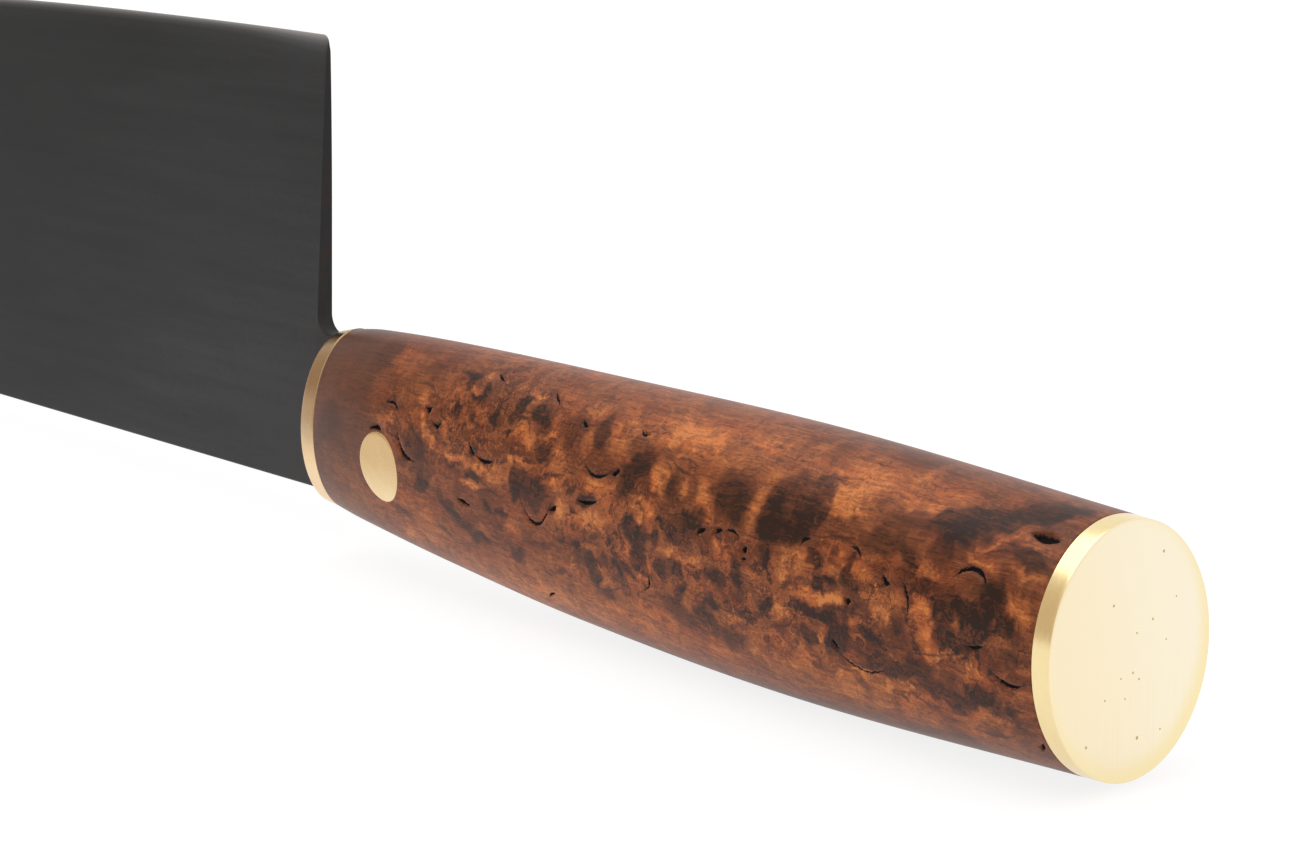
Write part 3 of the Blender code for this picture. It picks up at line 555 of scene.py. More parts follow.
def cut(piece, cutters):
    """Takes closed bars out of a piece, one after the other."""
    for points, faces in cutters:
        tool = mesh_piece("cutter", points, faces, smooth=False)
        turn_outward(tool.data)
        modifier = piece.modifiers.new("cut", "BOOLEAN")
        modifier.operation, modifier.solver, modifier.object = "DIFFERENCE", "MANIFOLD", tool
        bpy.context.view_layer.update()
        solved = piece.evaluated_get(bpy.context.evaluated_depsgraph_get())
        shape = bpy.data.meshes.new_from_object(solved)
        piece.modifiers.clear()
        before = len(piece.data.vertices)
        piece.data = shape
        bpy.data.objects.remove(tool)
        print("cut", piece.name, "from", before, "to", len(shape.vertices), "points")


# %% Cutting the rooms
cut(grip, cutters)
grip.data.set_sharp_from_angle(angle=math.radians(60))
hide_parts("grip")
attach(grip, "root")

# %% [markdown]
# ## Small helpers for materials
# A material here is a chain of nodes: each one takes numbers, colours or places and passes on a new
# value. The helpers keep a chain readable, because a line then says what is done and to what. A value
# may be a plain number or the output of another node.


# %% Wiring
def new_finish(name):
    """A fresh material with its tree and its surface shader."""
    finish = bpy.data.materials.new(name)
    finish.use_nodes = True
    tree = finish.node_tree
    return finish, tree, tree.nodes["Principled BSDF"]


def plug(tree, socket, value):
    if isinstance(value, bpy.types.NodeSocket):
        tree.links.new(value, socket)
    else:
        socket.default_value = value


def node(tree, kind, inputs=None, **settings):
    made = tree.nodes.new("ShaderNode" + kind)
    for name, value in settings.items():
        setattr(made, name, value)
    for key, value in (inputs or {}).items():
        plug(tree, made.inputs[key], value)
    return made


def maths(tree, what, a, b=0.0, c=0.0, hold=False):
    return node(tree, "Math", {0: a, 1: b, 2: c}, operation=what, use_clamp=hold).outputs[0]


def times(tree, a, b):
    return maths(tree, "MULTIPLY", a, b)


def weighed(tree, value, weight):
    """A noise value as a swing about zero."""
    return times(tree, maths(tree, "SUBTRACT", value, 0.5), weight)


def together(tree, values):
    total = values[0]
    for value in values[1:]:
        total = maths(tree, "ADD", total, value)
    return total


def soft_step(tree, value, low, high, to_low=0.0, to_high=1.0):
    """A smooth rise from to_low, where value is low, to to_high, where it is high."""
    inputs = {0: value, 1: low, 2: high, 3: to_low, 4: to_high}
    return node(tree, "MapRange", inputs, interpolation_type="SMOOTHSTEP").outputs[0]


# %% Noise, places and colours
def noise(tree, where, scale, detail=3.0, roughness=0.5, distortion=0.0):
    """A noise node. Its first output is a number about 0.5, and Color has three of them."""
    inputs = {"Vector": where, "Scale": scale, "Detail": detail}
    inputs |= {"Roughness": roughness, "Distortion": distortion}
    return node(tree, "TexNoise", inputs)


def stretched(tree, where, x, y, z):
    return node(tree, "VectorMath", {0: where, 1: (x, y, z)}, operation="MULTIPLY").outputs[0]


def moved(tree, where, by, amount):
    """where, pushed about by a noise colour, which is centred on zero first."""
    centred = node(tree, "VectorMath", {0: by, 1: (0.5, 0.5, 0.5)}, operation="SUBTRACT").outputs[0]
    push = node(tree, "VectorMath", {0: centred, 1: (amount,) * 3}, operation="MULTIPLY").outputs[0]
    return node(tree, "VectorMath", {0: where, 1: push}, operation="ADD").outputs[0]


def blended(tree, share, a, b, blend="MIX"):
    made = node(tree, "Mix", data_type="RGBA", blend_type=blend)
    for socket, value in ((made.inputs[0], share), (made.inputs[6], a), (made.inputs[7], b)):
        plug(tree, socket, value)
    return made.outputs[2]


def stain_ramp(tree, value, stops):
    """A colour ramp from (place, colour) pairs."""
    ramp = node(tree, "ValToRGB", {0: value})
    elements = ramp.color_ramp.elements
    while len(elements) < len(stops):
        elements.new(0.5)
    for element, (place, colour) in zip(elements, stops):
        element.position, element.color = place, (*colour, 1.0)
    return ramp.outputs[0]


def in_mm(tree):
    """The place on the piece in millimetres."""
    where = node(tree, "TexCoord").outputs["Object"]
    return stretched(tree, where, 1 / MM, 1 / MM, 1 / MM)


# %% Marks on the unrolled skin
def lens_mark(tree, s, a, mark):
    """A slim bent lens: above 0 inside the mark, 1 in its middle. s and a are single numbers here."""
    s0, a0, length, width, turn, bend = mark
    c, n = math.cos(math.radians(turn)), math.sin(math.radians(turn))
    half, slim = length / 2, width / 2
    part = maths(tree, "MULTIPLY_ADD", a, n / half, -(a0 * n + s0 * c) / half)
    along = maths(tree, "MULTIPLY_ADD", s, c / half, part)
    part = maths(tree, "MULTIPLY_ADD", a, c / slim, (s0 * n - a0 * c + 0.5 * bend) / slim)
    across = maths(tree, "MULTIPLY_ADD", s, -n / slim, part)
    lens = maths(tree, "MULTIPLY_ADD", times(tree, along, along), -1.0, 1.0)
    off = maths(tree, "ABSOLUTE", maths(tree, "MULTIPLY_ADD", lens, -bend / slim, across))
    return maths(tree, "SUBTRACT", lens, off)


def strongest(tree, values):
    """The largest of many values. They may come from a generator, so that few wait at a time."""
    best = None
    for value in values:
        best = value if best is None else maths(tree, "MAXIMUM", best, value)
    return best


# %% [markdown]
# ## Stained curly burl
# The wood is a pale burl soaked in red-brown stain. A painted picture would be quicker, but it would
# blur up close and stop at its seam, so the figure is drawn with noise in three dimensions. One
# *tone* from 0 to 1 is built up from wide clouds, slanting curl, fine grain, long lines and open
# pores, and in the zones of burl eyes from layers and strands too, plus the patches that make this
# block its own and some painted light along its top and lower side. A ramp then turns tone to colour.

# %% Fields of grain and figure
burl, tree, surface = new_finish("stained_burl")
where = in_mm(tree)
skin = node(tree, "UVMap", uv_map="unrolled").outputs[0]
wide_drift = noise(tree, where, 0.16, 4.0, 0.6).outputs["Color"]
small_drift = noise(tree, where, 0.9, 3.0, 0.6).outputs["Color"]
torn = noise(tree, where, 2.6, 3.0, 0.65).outputs["Color"]
# dark stain, pale stain with painted light, and zones of burl eyes, as the mesh carries them
dark, light, zones = (
    node(tree, "Attribute", attribute_name=name).outputs["Fac"] for name in STAIN_AND_LIGHT_LAYERS
)


def drawn_out(where, share, scale, detail=2.0, roughness=0.5):
    """Noise in streaks along the handle: the smaller the share, the longer they are."""
    return noise(tree, stretched(tree, where, share, 1.0, 1.0), scale, detail, roughness).outputs[0]


swirled = moved(tree, where, wide_drift, 9.0)
crumpled = moved(tree, swirled, small_drift, 2.5)
clouds = drawn_out(swirled, 0.45, 0.14, 4.0, 0.55)
curl_place = stretched(tree, moved(tree, where, wide_drift, 5.0), 1.0, 0.32, 0.32)
curl = noise(tree, curl_place, 0.32, 2.0).outputs[0]
flecks = drawn_out(crumpled, 0.42, 0.55, 4.0, 0.62)
specks = drawn_out(crumpled, 0.36, 1.7, 3.0, 0.6)
grain = drawn_out(moved(tree, where, wide_drift, 2.4), 0.11, 2.4, 3.0, 0.6)
fibres = drawn_out(moved(tree, where, small_drift, 0.5), 0.2, 7.0, 2.0, 0.6)
lines = drawn_out(moved(tree, where, wide_drift, 1.6), 0.045, 3.6, 2.0, 0.55)
pores = drawn_out(moved(tree, where, wide_drift, 1.6), 0.09, 5.5)
print("fields from", len(tree.nodes), "nodes")

# %% Layers that loop round the burl's eyes
# the layers are the contour lines of a gentle hilly noise, and the strands run where another is level
LAYERS = 8.0
hill = drawn_out(crumpled, 0.36, 0.17, 1.0)
layer = maths(tree, "FRACT", times(tree, hill, LAYERS))
layer_line = maths(tree, "SUBTRACT", soft_step(tree, layer, 0.34, 0.10), soft_step(tree, layer, 0.08, 0.0))
layer_rim = soft_step(tree, layer, 0.75, 0.28)
shown = times(tree, soft_step(tree, specks, 0.34, 0.50), zones)
strand = maths(tree, "ABSOLUTE", maths(tree, "SUBTRACT", drawn_out(crumpled, 0.34, 0.62), 0.5))
strand = soft_step(tree, strand, 0.045, 0.0)
print("with layers and strands:", len(tree.nodes), "nodes")

# %% How grain and patches swing the tone
# the grain shows best between the burl eyes
calm = maths(tree, "SUBTRACT", 1.0, zones, hold=True)
along_grain = together(tree, [weighed(tree, grain, 0.42), weighed(tree, lines, 0.60)])
grain_swing = times(tree, along_grain, maths(tree, "MULTIPLY_ADD", calm, 0.65, 0.35))
blotches = maths(tree, "SUBTRACT", soft_step(tree, flecks, 0.42, 0.57), 0.5)
blotches = times(tree, blotches, maths(tree, "MULTIPLY_ADD", zones, 0.18, 0.10))


def tattered(base, parts):
    """A factor about base that tears a patch up with the noises given in parts, with their weights."""
    return together(tree, [base] + [weighed(tree, value, weight) for value, weight in parts])


torn_dark = tattered(1.0, ((flecks, 2.4), (specks, 1.6), (grain, 0.8), (fibres, 0.4)))
drop = soft_step(tree, times(tree, dark, torn_dark), 0.06, 0.56, 0.0, -0.49)
# pale patches, and the painted light of the wide faint ones along the top and the lower side
lift = times(tree, light, tattered(0.88, ((flecks, 1.8), (specks, 1.2), (grain, 1.2))))
print("with the swings:", len(tree.nodes), "nodes")

# %% All of the tone together
MIDDLE_TONE = 0.52
tone = together(
    tree,
    [
        MIDDLE_TONE,
        weighed(tree, clouds, 0.42),
        weighed(tree, curl, 0.40),
        weighed(tree, specks, 0.50),
        weighed(tree, fibres, 0.24),
        blotches,
        grain_swing,
        drop,
        lift,
        times(tree, times(tree, layer_line, shown), -0.50),
        times(tree, times(tree, layer_rim, shown), 0.14),
        times(tree, times(tree, strand, zones), 0.20),
        soft_step(tree, pores, 0.56, 0.70, 0.0, -0.22),
    ],
)
# above the shoulder the tone rises half as fast, so that no spot burns out
SHOULDER, SLOWED = 0.66, -0.50
too_light = maths(tree, "MAXIMUM", maths(tree, "SUBTRACT", tone, SHOULDER), 0.0)
tone = maths(tree, "MULTIPLY_ADD", too_light, SLOWED, tone, hold=True)
print("tone from", len(tree.nodes), "nodes")

# %% From tone to stain
STAIN = (
    (0.00, (0.0250, 0.0088, 0.0045)),
    (0.12, (0.0560, 0.0168, 0.0072)),
    (0.30, (0.1060, 0.0295, 0.0102)),
    (0.50, (0.1650, 0.0470, 0.0175)),
    (0.68, (0.2650, 0.0760, 0.0250)),
    (0.85, (0.4500, 0.1380, 0.0380)),
    (1.00, (0.6400, 0.2200, 0.0580)),
)
stain = stain_ramp(tree, tone, STAIN)
REDDER = (1.02, 0.86, 0.78, 1.0)
redder_share = soft_step(tree, drawn_out(swirled, 0.5, 0.33), 0.40, 0.66, 0.0, 0.8)
stain = blended(tree, redder_share, stain, REDDER, "MULTIPLY")
print("stain from", len(tree.nodes), "nodes")

# %% [markdown]
# ### Cracks, seams and the finish
# By the bolster the wood is painted a greyer brown, a painted sheen. Over it come the seams, a brown
# halo round each crack, and the black inside it. A mask for them could be painted as a picture, but it
# would blur; instead each mark is worked out from the unrolled map with a dozen nodes. The map is first
# shaken a little, so that no line is a clean curve. Over it all lies an oil finish: satin, with a
# trace of grain in it.

# %% The painted sheen by the bolster, the seams and the cracks
nearly_true = moved(tree, moved(tree, skin, small_drift, 0.30), torn, 0.34)
spread = node(tree, "SeparateXYZ", {0: nearly_true}).outputs
# painted sheen: by the bolster the stain is blended to a greyer brown
sheen_by_bolster = soft_step(tree, maths(tree, "MULTIPLY_ADD", clouds, 8.0, spread[0]), 107.0, 119.0)
with_painted_sheen = blended(tree, times(tree, sheen_by_bolster, 0.62), stain, (0.105, 0.050, 0.034, 1.0))
opening = strongest(tree, (lens_mark(tree, spread[0], spread[1], crack) for crack in CRACKS))
inside = soft_step(tree, opening, 0.0, 0.30)
halo = soft_step(tree, opening, -0.9, 0.1)
seam = strongest(tree, (lens_mark(tree, spread[0], spread[1], mark) for mark in SEAMS))
seamed = blended(
    tree, soft_step(tree, seam, -0.5, 0.4, 0.0, 0.62), with_painted_sheen, (0.045, 0.016, 0.009, 1.0)
)
shaded = blended(tree, times(tree, halo, 0.45), seamed, (0.040, 0.015, 0.009, 1.0))
wood_colour = blended(tree, inside, shaded, (0.006, 0.004, 0.003, 1.0))
plug(tree, surface.inputs["Base Color"], wood_colour)
print("with cracks and seams:", len(tree.nodes), "nodes")

# %% The oil finish
rough = maths(tree, "MULTIPLY_ADD", fibres, 0.16, 0.30)
plug(tree, surface.inputs["Roughness"], maths(tree, "MULTIPLY_ADD", inside, 0.50, rough))
reliefs = ((fibres, 0.16), (grain, 0.10), (inside, -1.0))
relief = together(tree, [times(tree, value, weight) for value, weight in reliefs])
bump = node(tree, "Bump", {"Strength": 0.35, "Distance": 0.12 * MM, "Height": relief})
plug(tree, surface.inputs["Normal"], bump.outputs[0])
surface.inputs["Specular IOR Level"].default_value = 0.17
grip.data.materials.clear()
grip.data.materials.append(burl)
print("burl finish:", len(tree.nodes), "nodes")

# %% [markdown]
# ## Brass
# Brass fittings are filed, sanded along one way and rubbed to a satin shine. A plain metal shader
# looks like plastic foil here: what the eye sees is mostly the room mirrored in the metal, and it
# wants something to break on. So the brass gets fine brush lines in roughness and bump, and a slightly
# uneven tarnish. One function makes all of the brasses, which differ in colour and in their lines.


# %% A brushed brass finish
TARNISH_FROM, TARNISH_TO = 0.35, 0.72


def brass_finish(name, colour, aged, roughness, brush, line_strength=0.05):
    """brush stretches the noise: small numbers along the brush lines, large ones across."""
    finish, tree, surface = new_finish(name)
    where = in_mm(tree)
    lines = noise(tree, stretched(tree, where, *brush), 1.0, 2.0, 0.5).outputs[0]
    tarnish = noise(tree, where, 0.22, 4.0, 0.6, 0.4).outputs[0]
    spots = noise(tree, where, 1.6, 3.0, 0.6).outputs[0]
    age = maths(tree, "MULTIPLY_ADD", tarnish, 0.7, times(tree, spots, 0.3))
    worn = soft_step(tree, age, TARNISH_FROM, TARNISH_TO)
    worn = blended(tree, worn, (*colour, 1.0), (*aged, 1.0))
    shade = maths(tree, "MULTIPLY_ADD", lines, 0.08, 0.96)
    line_colour = node(tree, "CombineColor", {0: shade, 1: shade, 2: shade}).outputs[0]
    colour_out = blended(tree, 1.0, worn, line_colour, "MULTIPLY")
    rough = maths(tree, "MULTIPLY_ADD", lines, 0.12, roughness - 0.06)
    plug(tree, surface.inputs["Base Color"], colour_out)
    plug(tree, surface.inputs["Roughness"], rough)
    bump = node(tree, "Bump", {"Strength": line_strength, "Distance": 0.03 * MM, "Height": lines})
    plug(tree, surface.inputs["Normal"], bump.outputs[0])
    surface.inputs["Metallic"].default_value = 1.0
    return finish, tree, surface, colour_out


# %% Brass with painted shade, darker with height
# the border between the tones wanders by this many millimetres
TONE_DRIFT = 2.0


def painted_shade_by_height(tree, surface, colour, low, high, tint):
    """Painted shade: multiplies the colour by a tint that grows from one height to another, both in
    millimetres.
    """
    where = in_mm(tree)
    drift = noise(tree, where, 0.25, 3.0, 0.6).outputs[0]
    rise = node(tree, "SeparateXYZ", {0: where}).outputs[2]
    height = maths(tree, "MULTIPLY_ADD", drift, TONE_DRIFT, rise)
    share = soft_step(tree, height, low + TONE_DRIFT / 2, high + TONE_DRIFT / 2)
    plug(tree, surface.inputs["Base Color"], blended(tree, share, colour, (*tint, 1.0), "MULTIPLY"))


# %% [markdown]
# ## The bolster
# A thin oval plate of brass closes the wood at the blade's end. Its front rim was rounded over with a
# file, which is why a soft bright band runs down it. A bevelled cylinder would be simpler, but the
# plate is oval, tapers and leans, so it is stacked from the handle's own rings. They start a little
# behind the plate's true back, at BRASS_FROM, where the grip's skin stops, and so no slit shows. The
# tang comes through a slot. On the real knife the band grows darker towards the top, in the shade of
# the blade's heel, and that shade is painted into the finish.

# %% The bolster's rings
BOLSTER_ROUND = 0.0009
BOLSTER_AROUND, ROUND_STEPS = 160, 10
turns = full_turn(BOLSTER_AROUND)
back_size = [smooth_through(column, BOLSTER_BACK) for column in (1, 2, 3)]


def bolster_size(share):
    return [b + (f - b) * share for b, f in zip(back_size, BOLSTER_FRONT)]


rings = []
first = (BRASS_FROM - BOLSTER_BACK) / BOLSTER_THICKNESS
last = 1.0 - BOLSTER_ROUND / BOLSTER_THICKNESS
for share in np.linspace(first, last, 7):
    rings.append(oval_ring(BOLSTER_BACK + BOLSTER_THICKNESS * share, turns, 0.0, bolster_size(share)))
for turn in np.linspace(0.0, math.pi / 2, ROUND_STEPS + 1)[1:]:
    s = HANDLE_LENGTH - BOLSTER_ROUND * (1 - math.sin(turn))
    share = (s - BOLSTER_BACK) / BOLSTER_THICKNESS
    rings.append(oval_ring(s, turns, BOLSTER_ROUND * (1 - math.cos(turn)), bolster_size(share)))
bolster = stacked("brass_bolster", rings)
slot_ends = [
    tang_outline(s, 0.0, TANG_ROOT_HEIGHT) for s in (BOLSTER_BACK - OVER, HANDLE_LENGTH + OVER)
]
cut(bolster, [bar(*slot_ends)])

# %% The bolster's finish
bolster_brass, tree, surface, colour = brass_finish(
    "bolster_brass", (0.90, 0.66, 0.39), (0.84, 0.58, 0.32), 0.26, (6.0, 0.8, 0.8)
)
# painted shade: the bolster is darker towards the top, in the shade of the blade's heel
painted_shade_by_height(tree, surface, colour, -2.0, 3.5, (0.47, 0.42, 0.36))
bolster.data.materials.clear()
bolster.data.materials.append(bolster_brass)
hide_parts("bolster")
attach(bolster, "root")
print("bolster:", len(bolster.data.vertices), "points")

# %% [markdown]
# ## The cross pin
# A brass rod goes through wood, resin and tang. It was filed down flush with the wood, so each end
# follows the handle's own curve. A plain cylinder would stand out at the top and sink in below, so
# the ends are round fans of points laid on the oval. Each stands proud by a hair, and its narrow rim
# drops back to the skin, so that wood and brass meet in one clean line.

# %% The pin, filed to the handle's curve
PIN_RINGS, PIN_AROUND = 10, 72
PROUD, RIM_FROM = 0.02 * MM, 0.985


def skin_y(x, z):
    """Half width of the handle over a point of its middle plane."""
    s = -x + lean_at(-x) * (z - BOLSTER_RISE)
    width, height, rise = (smooth_through(column, s) for column in (1, 2, 3))
    return width / 2 * math.sqrt(max(1 - ((z - rise) / (height / 2)) ** 2, 0.0))


points, faces = [], []
for side in (-1, 1):
    base = len(points)
    points.append((-PIN_STATION, side * (skin_y(-PIN_STATION, PIN_RISE) + PROUD), PIN_RISE))
    for ring in range(1, PIN_RINGS + 1):
        on_rim = ring == PIN_RINGS
        reach = PIN_RADIUS * (1.0 if on_rim else RIM_FROM * ring / (PIN_RINGS - 1))
        lift = 0.0 if on_rim else PROUD
        for k in range(PIN_AROUND):
            turn = 2 * math.pi * k / PIN_AROUND
            x, z = -PIN_STATION + reach * math.cos(turn), PIN_RISE + reach * math.sin(turn)
            points.append((x, side * (skin_y(x, z) + lift), z))
    for k in range(PIN_AROUND):
        after = (k + 1) % PIN_AROUND
        faces.append((base, base + 1 + k, base + 1 + after)[::side])
        for ring in range(PIN_RINGS - 1):
            a = base + 1 + ring * PIN_AROUND
            faces.append((a + k, a + PIN_AROUND + k, a + PIN_AROUND + after, a + after)[::side])
near_rim, far_rim = 1 + (PIN_RINGS - 1) * PIN_AROUND, 2 + (2 * PIN_RINGS - 1) * PIN_AROUND
for k in range(PIN_AROUND):
    after = (k + 1) % PIN_AROUND
    faces.append((near_rim + k, far_rim + k, far_rim + after, near_rim + after))
pin = mesh_piece("brass_pin", points, faces)
turn_outward(pin.data)

# %% The pin's finish
pin_brass, tree, surface, colour = brass_finish(
    "pin_brass", (0.90, 0.70, 0.40), (0.86, 0.65, 0.35), 0.27, (0.4, 0.4, 2.4), 0.02
)
# painted shade: the pin's ends are darker towards the top
painted_shade_by_height(tree, surface, colour, -4.0, 2.0, (0.74, 0.65, 0.56))
pin.data.materials.append(pin_brass)
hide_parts("cross_pin")
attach(pin, "root")
pin_half = max(y for _, y, _ in points) / MM
print("pin:", len(points), "points,", round(2 * pin_half, 2), "mm long")

# %% [markdown]
# ## The butt cap
# The plate at the butt is the brightest piece: its face was lapped flat and its rim polished, with a
# small round between them. Tiny casting pits show in the face. In brass so bright a pit that is only
# painted looks like dust, so each one is pressed in with a small ball; its faces are then painted
# darker too, as painted shade in the hollow. The face is paler than the rim and a little uneven, with
# a yellower border that is a painted reflection of its slightly dubbed edge, and fine lines from the
# lapping show in its lower part.

# %% The cap's rings
CAP_ROUND = 0.16 * MM
CAP_AROUND = 200
turns = full_turn(CAP_AROUND)
rings = [oval_ring(s, turns) for s in np.linspace(CAP_THICKNESS, CAP_ROUND, 6)]
for turn in np.linspace(0.0, math.pi / 2, 6)[1:]:
    rings.append(oval_ring(CAP_ROUND * (1 - math.sin(turn)), turns, CAP_ROUND * (1 - math.cos(turn))))
# one more ring on the flat keeps the round's shading off the face
FLAT_FROM = CAP_ROUND + 0.05 * MM
rings.append(oval_ring(0.0, turns, FLAT_FROM))
cap = stacked("brass_butt_cap", rings[::-1])
print("cap:", len(cap.data.vertices), "points")

# %% Casting pits in the cap's face
# across and up from the middle of the face, and radius, in millimetres
PITS = [
    (3.90, 8.48, 0.15), (-2.27, 4.54, 0.14), (2.66, 2.53, 0.13), (0.67, 1.60, 0.11),
    (1.02, -2.64, 0.12), (0.25, -1.95, 0.13), (-1.25, -2.22, 0.10), (-3.21, -3.85, 0.11),
    (-0.71, -4.14, 0.10), (3.81, -7.74, 0.11), (0.89, -8.00, 0.18), (-5.48, -7.68, 0.16),
    (5.60, 4.10, 0.10), (4.40, 0.40, 0.10),
]
print(len(PITS), "pits")


def pebble(centre, radius, sides=12, steps=7):
    """A small closed ball, to press a pit with."""
    points, faces = [centre + Vector((radius, 0, 0))], []
    for step in range(1, steps):
        tilt = math.pi * step / steps
        for k in range(sides):
            turn = 2 * math.pi * k / sides
            way = Vector((math.cos(tilt), math.sin(tilt) * math.cos(turn), math.sin(tilt) * math.sin(turn)))
            points.append(centre + radius * way)
    points.append(centre - Vector((radius, 0, 0)))
    for k in range(sides):
        after = (k + 1) % sides
        faces.append((0, 1 + k, 1 + after))
        for step in range(steps - 2):
            a = 1 + step * sides
            faces.append((a + k, a + sides + k, a + sides + after, a + after))
        a = 1 + (steps - 2) * sides
        faces.append((a + k, len(points) - 1, a + after))
    return points, faces


# %% Pressing the pits in, and marking their faces for painted shade
# each ball stands out of the face by this share of its radius
STANDS_OUT = 0.35
PIT_FACE, PIT_DEPTH, PIT_REACH = 0.01 * MM**2, 0.2 * MM, 9.5 * MM
cut(cap, [pebble(Vector((STANDS_OUT * r * MM, y * MM, z * MM)), r * MM) for y, z, r in PITS])
cap.data.set_sharp_from_angle(angle=math.radians(30))


def in_a_pit(face):
    x, y, z = face.center
    return face.area < PIT_FACE and x > -PIT_DEPTH and math.hypot(y, z) < PIT_REACH


pitted = [float(in_a_pit(face)) for face in cap.data.polygons]
cap.data.attributes.new("pit", "FLOAT", "FACE").data.foreach_set("value", pitted)
print(int(sum(pitted)), "small faces in the pits")

# %% The cap's finish
cap_brass, tree, surface, colour = brass_finish(
    "cap_brass", (0.90, 0.73, 0.40), (0.86, 0.67, 0.34), 0.20, (6.0, 5.0, 0.35)
)
# half the face's width and height, in millimetres
FACE_HALF = (10.05, 11.9)
where = in_mm(tree)
place = node(tree, "SeparateXYZ", {0: where}).outputs
on_face = soft_step(tree, place[0], -0.20, -0.02)
across = times(tree, place[1], 1 / FACE_HALF[0])
height = times(tree, place[2], 1 / FACE_HALF[1])
off_middle = maths(tree, "SQRT", together(tree, [times(tree, v, v) for v in (across, height)]))
# the pale middle sits a little off the middle, to the near side and up; the yellower border round it is a
# painted reflection of the dubbed edge
leaning = together(tree, [off_middle, times(tree, across, 0.07), times(tree, height, -0.09)])
clear_of_edge_reflection = soft_step(tree, leaning, 1.06, 0.84)
paler = soft_step(tree, maths(tree, "MULTIPLY_ADD", height, 0.25, across), -0.9, 0.9)
pale = blended(tree, paler, (0.930, 0.800, 0.560, 1.0), (0.940, 0.850, 0.660, 1.0))
lapped = blended(tree, clear_of_edge_reflection, (0.93, 0.78, 0.45, 1.0), pale)
face_lines = noise(tree, stretched(tree, where, 1.0, 3.2, 0.06), 1.0, 3.0, 0.6).outputs[0]
low_down = soft_step(tree, height, 0.3, -0.6)
line_share = times(tree, low_down, soft_step(tree, face_lines, 0.46, 0.74, 0.0, 0.38))
lapped = blended(tree, line_share, lapped, (0.90, 0.76, 0.49, 1.0))
colour = blended(tree, on_face, colour, lapped)
pit = node(tree, "Attribute", attribute_name="pit").outputs["Fac"]
# painted shade: the pits' faces are darkened, as shade in the hollows
colour = blended(tree, times(tree, pit, 0.60), colour, (0.36, 0.25, 0.10, 1.0))
plug(tree, surface.inputs["Base Color"], colour)
cap.data.materials.clear()
cap.data.materials.append(cap_brass)
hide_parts("butt_cap")
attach(cap, "root")
print("cap finish:", len(tree.nodes), "nodes")

# %% [markdown]
# ## The blade
# One piece of carbon steel, forged thin towards the tip and ground thin towards the edge. A solid cut
# out of a slab would have flat flanks, and light runs over a ground blade in another way. So its mesh
# is a row of half sections from spine to edge, mirrored. The stations are close together round the
# heel's corner and towards the tip, and each section has its own rows for flank, bevel and edge.


# %% The blade's outline
SPINE_CURVE = 2.3
# how much of the edge's fall comes early and how much only by the tip, and how sharply each sets in
EARLY_FALL, EARLY_CURVE = 0.52, 2.5
LATE_FALL, LATE_CURVE = 0.48, 6.0
BEVEL_HEIGHT, BEVEL_SHARE = 0.0010, 0.35


def spine_z(s):
    past = max(s - HEEL_STATION - SPINE_STRAIGHT, 0.0) / (BLADE_LENGTH - SPINE_STRAIGHT)
    return SPINE_Z + (TIP_Z - SPINE_Z) * past**SPINE_CURVE


def edge_z(s):
    past = s - HEEL_STATION
    dip = EDGE_LIFT * max(1.0 - past / EDGE_CREST, 0.0) ** 2
    belly = max(past - EDGE_CREST, 0.0) / (BLADE_LENGTH - EDGE_CREST)
    fall = (CREST_Z - TIP_Z) * (EARLY_FALL * belly**EARLY_CURVE + LATE_FALL * belly**LATE_CURVE)
    corner = max(HEEL_ROUND - past, 0.0)
    return CREST_Z - dip - fall - (HEEL_ROUND - math.sqrt(max(HEEL_ROUND**2 - corner**2, 0.0)))


def shoulder_z(s):
    """Where the flank ends and the cutting bevel begins."""
    return edge_z(s) - min(BEVEL_HEIGHT, BEVEL_SHARE * (edge_z(s) - spine_z(s)))


def neck_top(s):
    inside = max(NECK_FILLET - (HEEL_STATION - s), 0.0)
    return NECK_TOP + NECK_FILLET - math.sqrt(max(NECK_FILLET**2 - inside**2, 0.0))


tallest = max(edge_z(s) - spine_z(s) for s in np.linspace(HEEL_STATION, TIP_STATION, 100))
print("tallest section:", round(tallest / MM, 1), "mm")

# %% Half the blade's thickness
HEEL_THICKNESS, TIP_THICKNESS = 0.0027, 0.0011
GRIND_DEPTH, GRIND_CURVE = 0.0190, 2.2
FLANK_SLOPE = 0.0184
# half the thickness behind the bevel, and the most that it may be of the spine's
BEVEL_HALF, BEVEL_MOST = 0.00025, 0.6
# what stays of the spine's thickness at the very tip, and over which length it thins down to that
TIP_SHARE, TIP_REACH = 0.3, 0.0190


def spine_half(s):
    share = (s - HEEL_STATION) / BLADE_LENGTH
    even = HEEL_THICKNESS + (TIP_THICKNESS - HEEL_THICKNESS) * share
    grown = math.sqrt(share_of((TIP_STATION - s) / TIP_REACH))
    return even / 2 * (TIP_SHARE + (1 - TIP_SHARE) * grown)


def flank_half(s, z):
    low, shoulder = spine_z(s), shoulder_z(s)
    spine = spine_half(s - lean_at(s) * (z - BOLSTER_RISE))
    thin = min(BEVEL_HALF, BEVEL_MOST * spine)
    start = max(shoulder - GRIND_DEPTH, low)
    flat = spine - FLANK_SLOPE * (min(z, start) - low)
    share = max(z - start, 0.0) / (shoulder - start)
    straight = FLANK_SLOPE * (shoulder - start)
    return flat - straight * share - (flat - thin - straight) * share**GRIND_CURVE


checked = (SPINE_Z, SPINE_Z + tallest / 2, shoulder_z(HEEL_STATION))
thicknesses = [round(2 * flank_half(HEEL_STATION, z) / MM, 2) for z in checked]
print("thickness at the heel by spine, middle and bevel:", thicknesses, "mm")

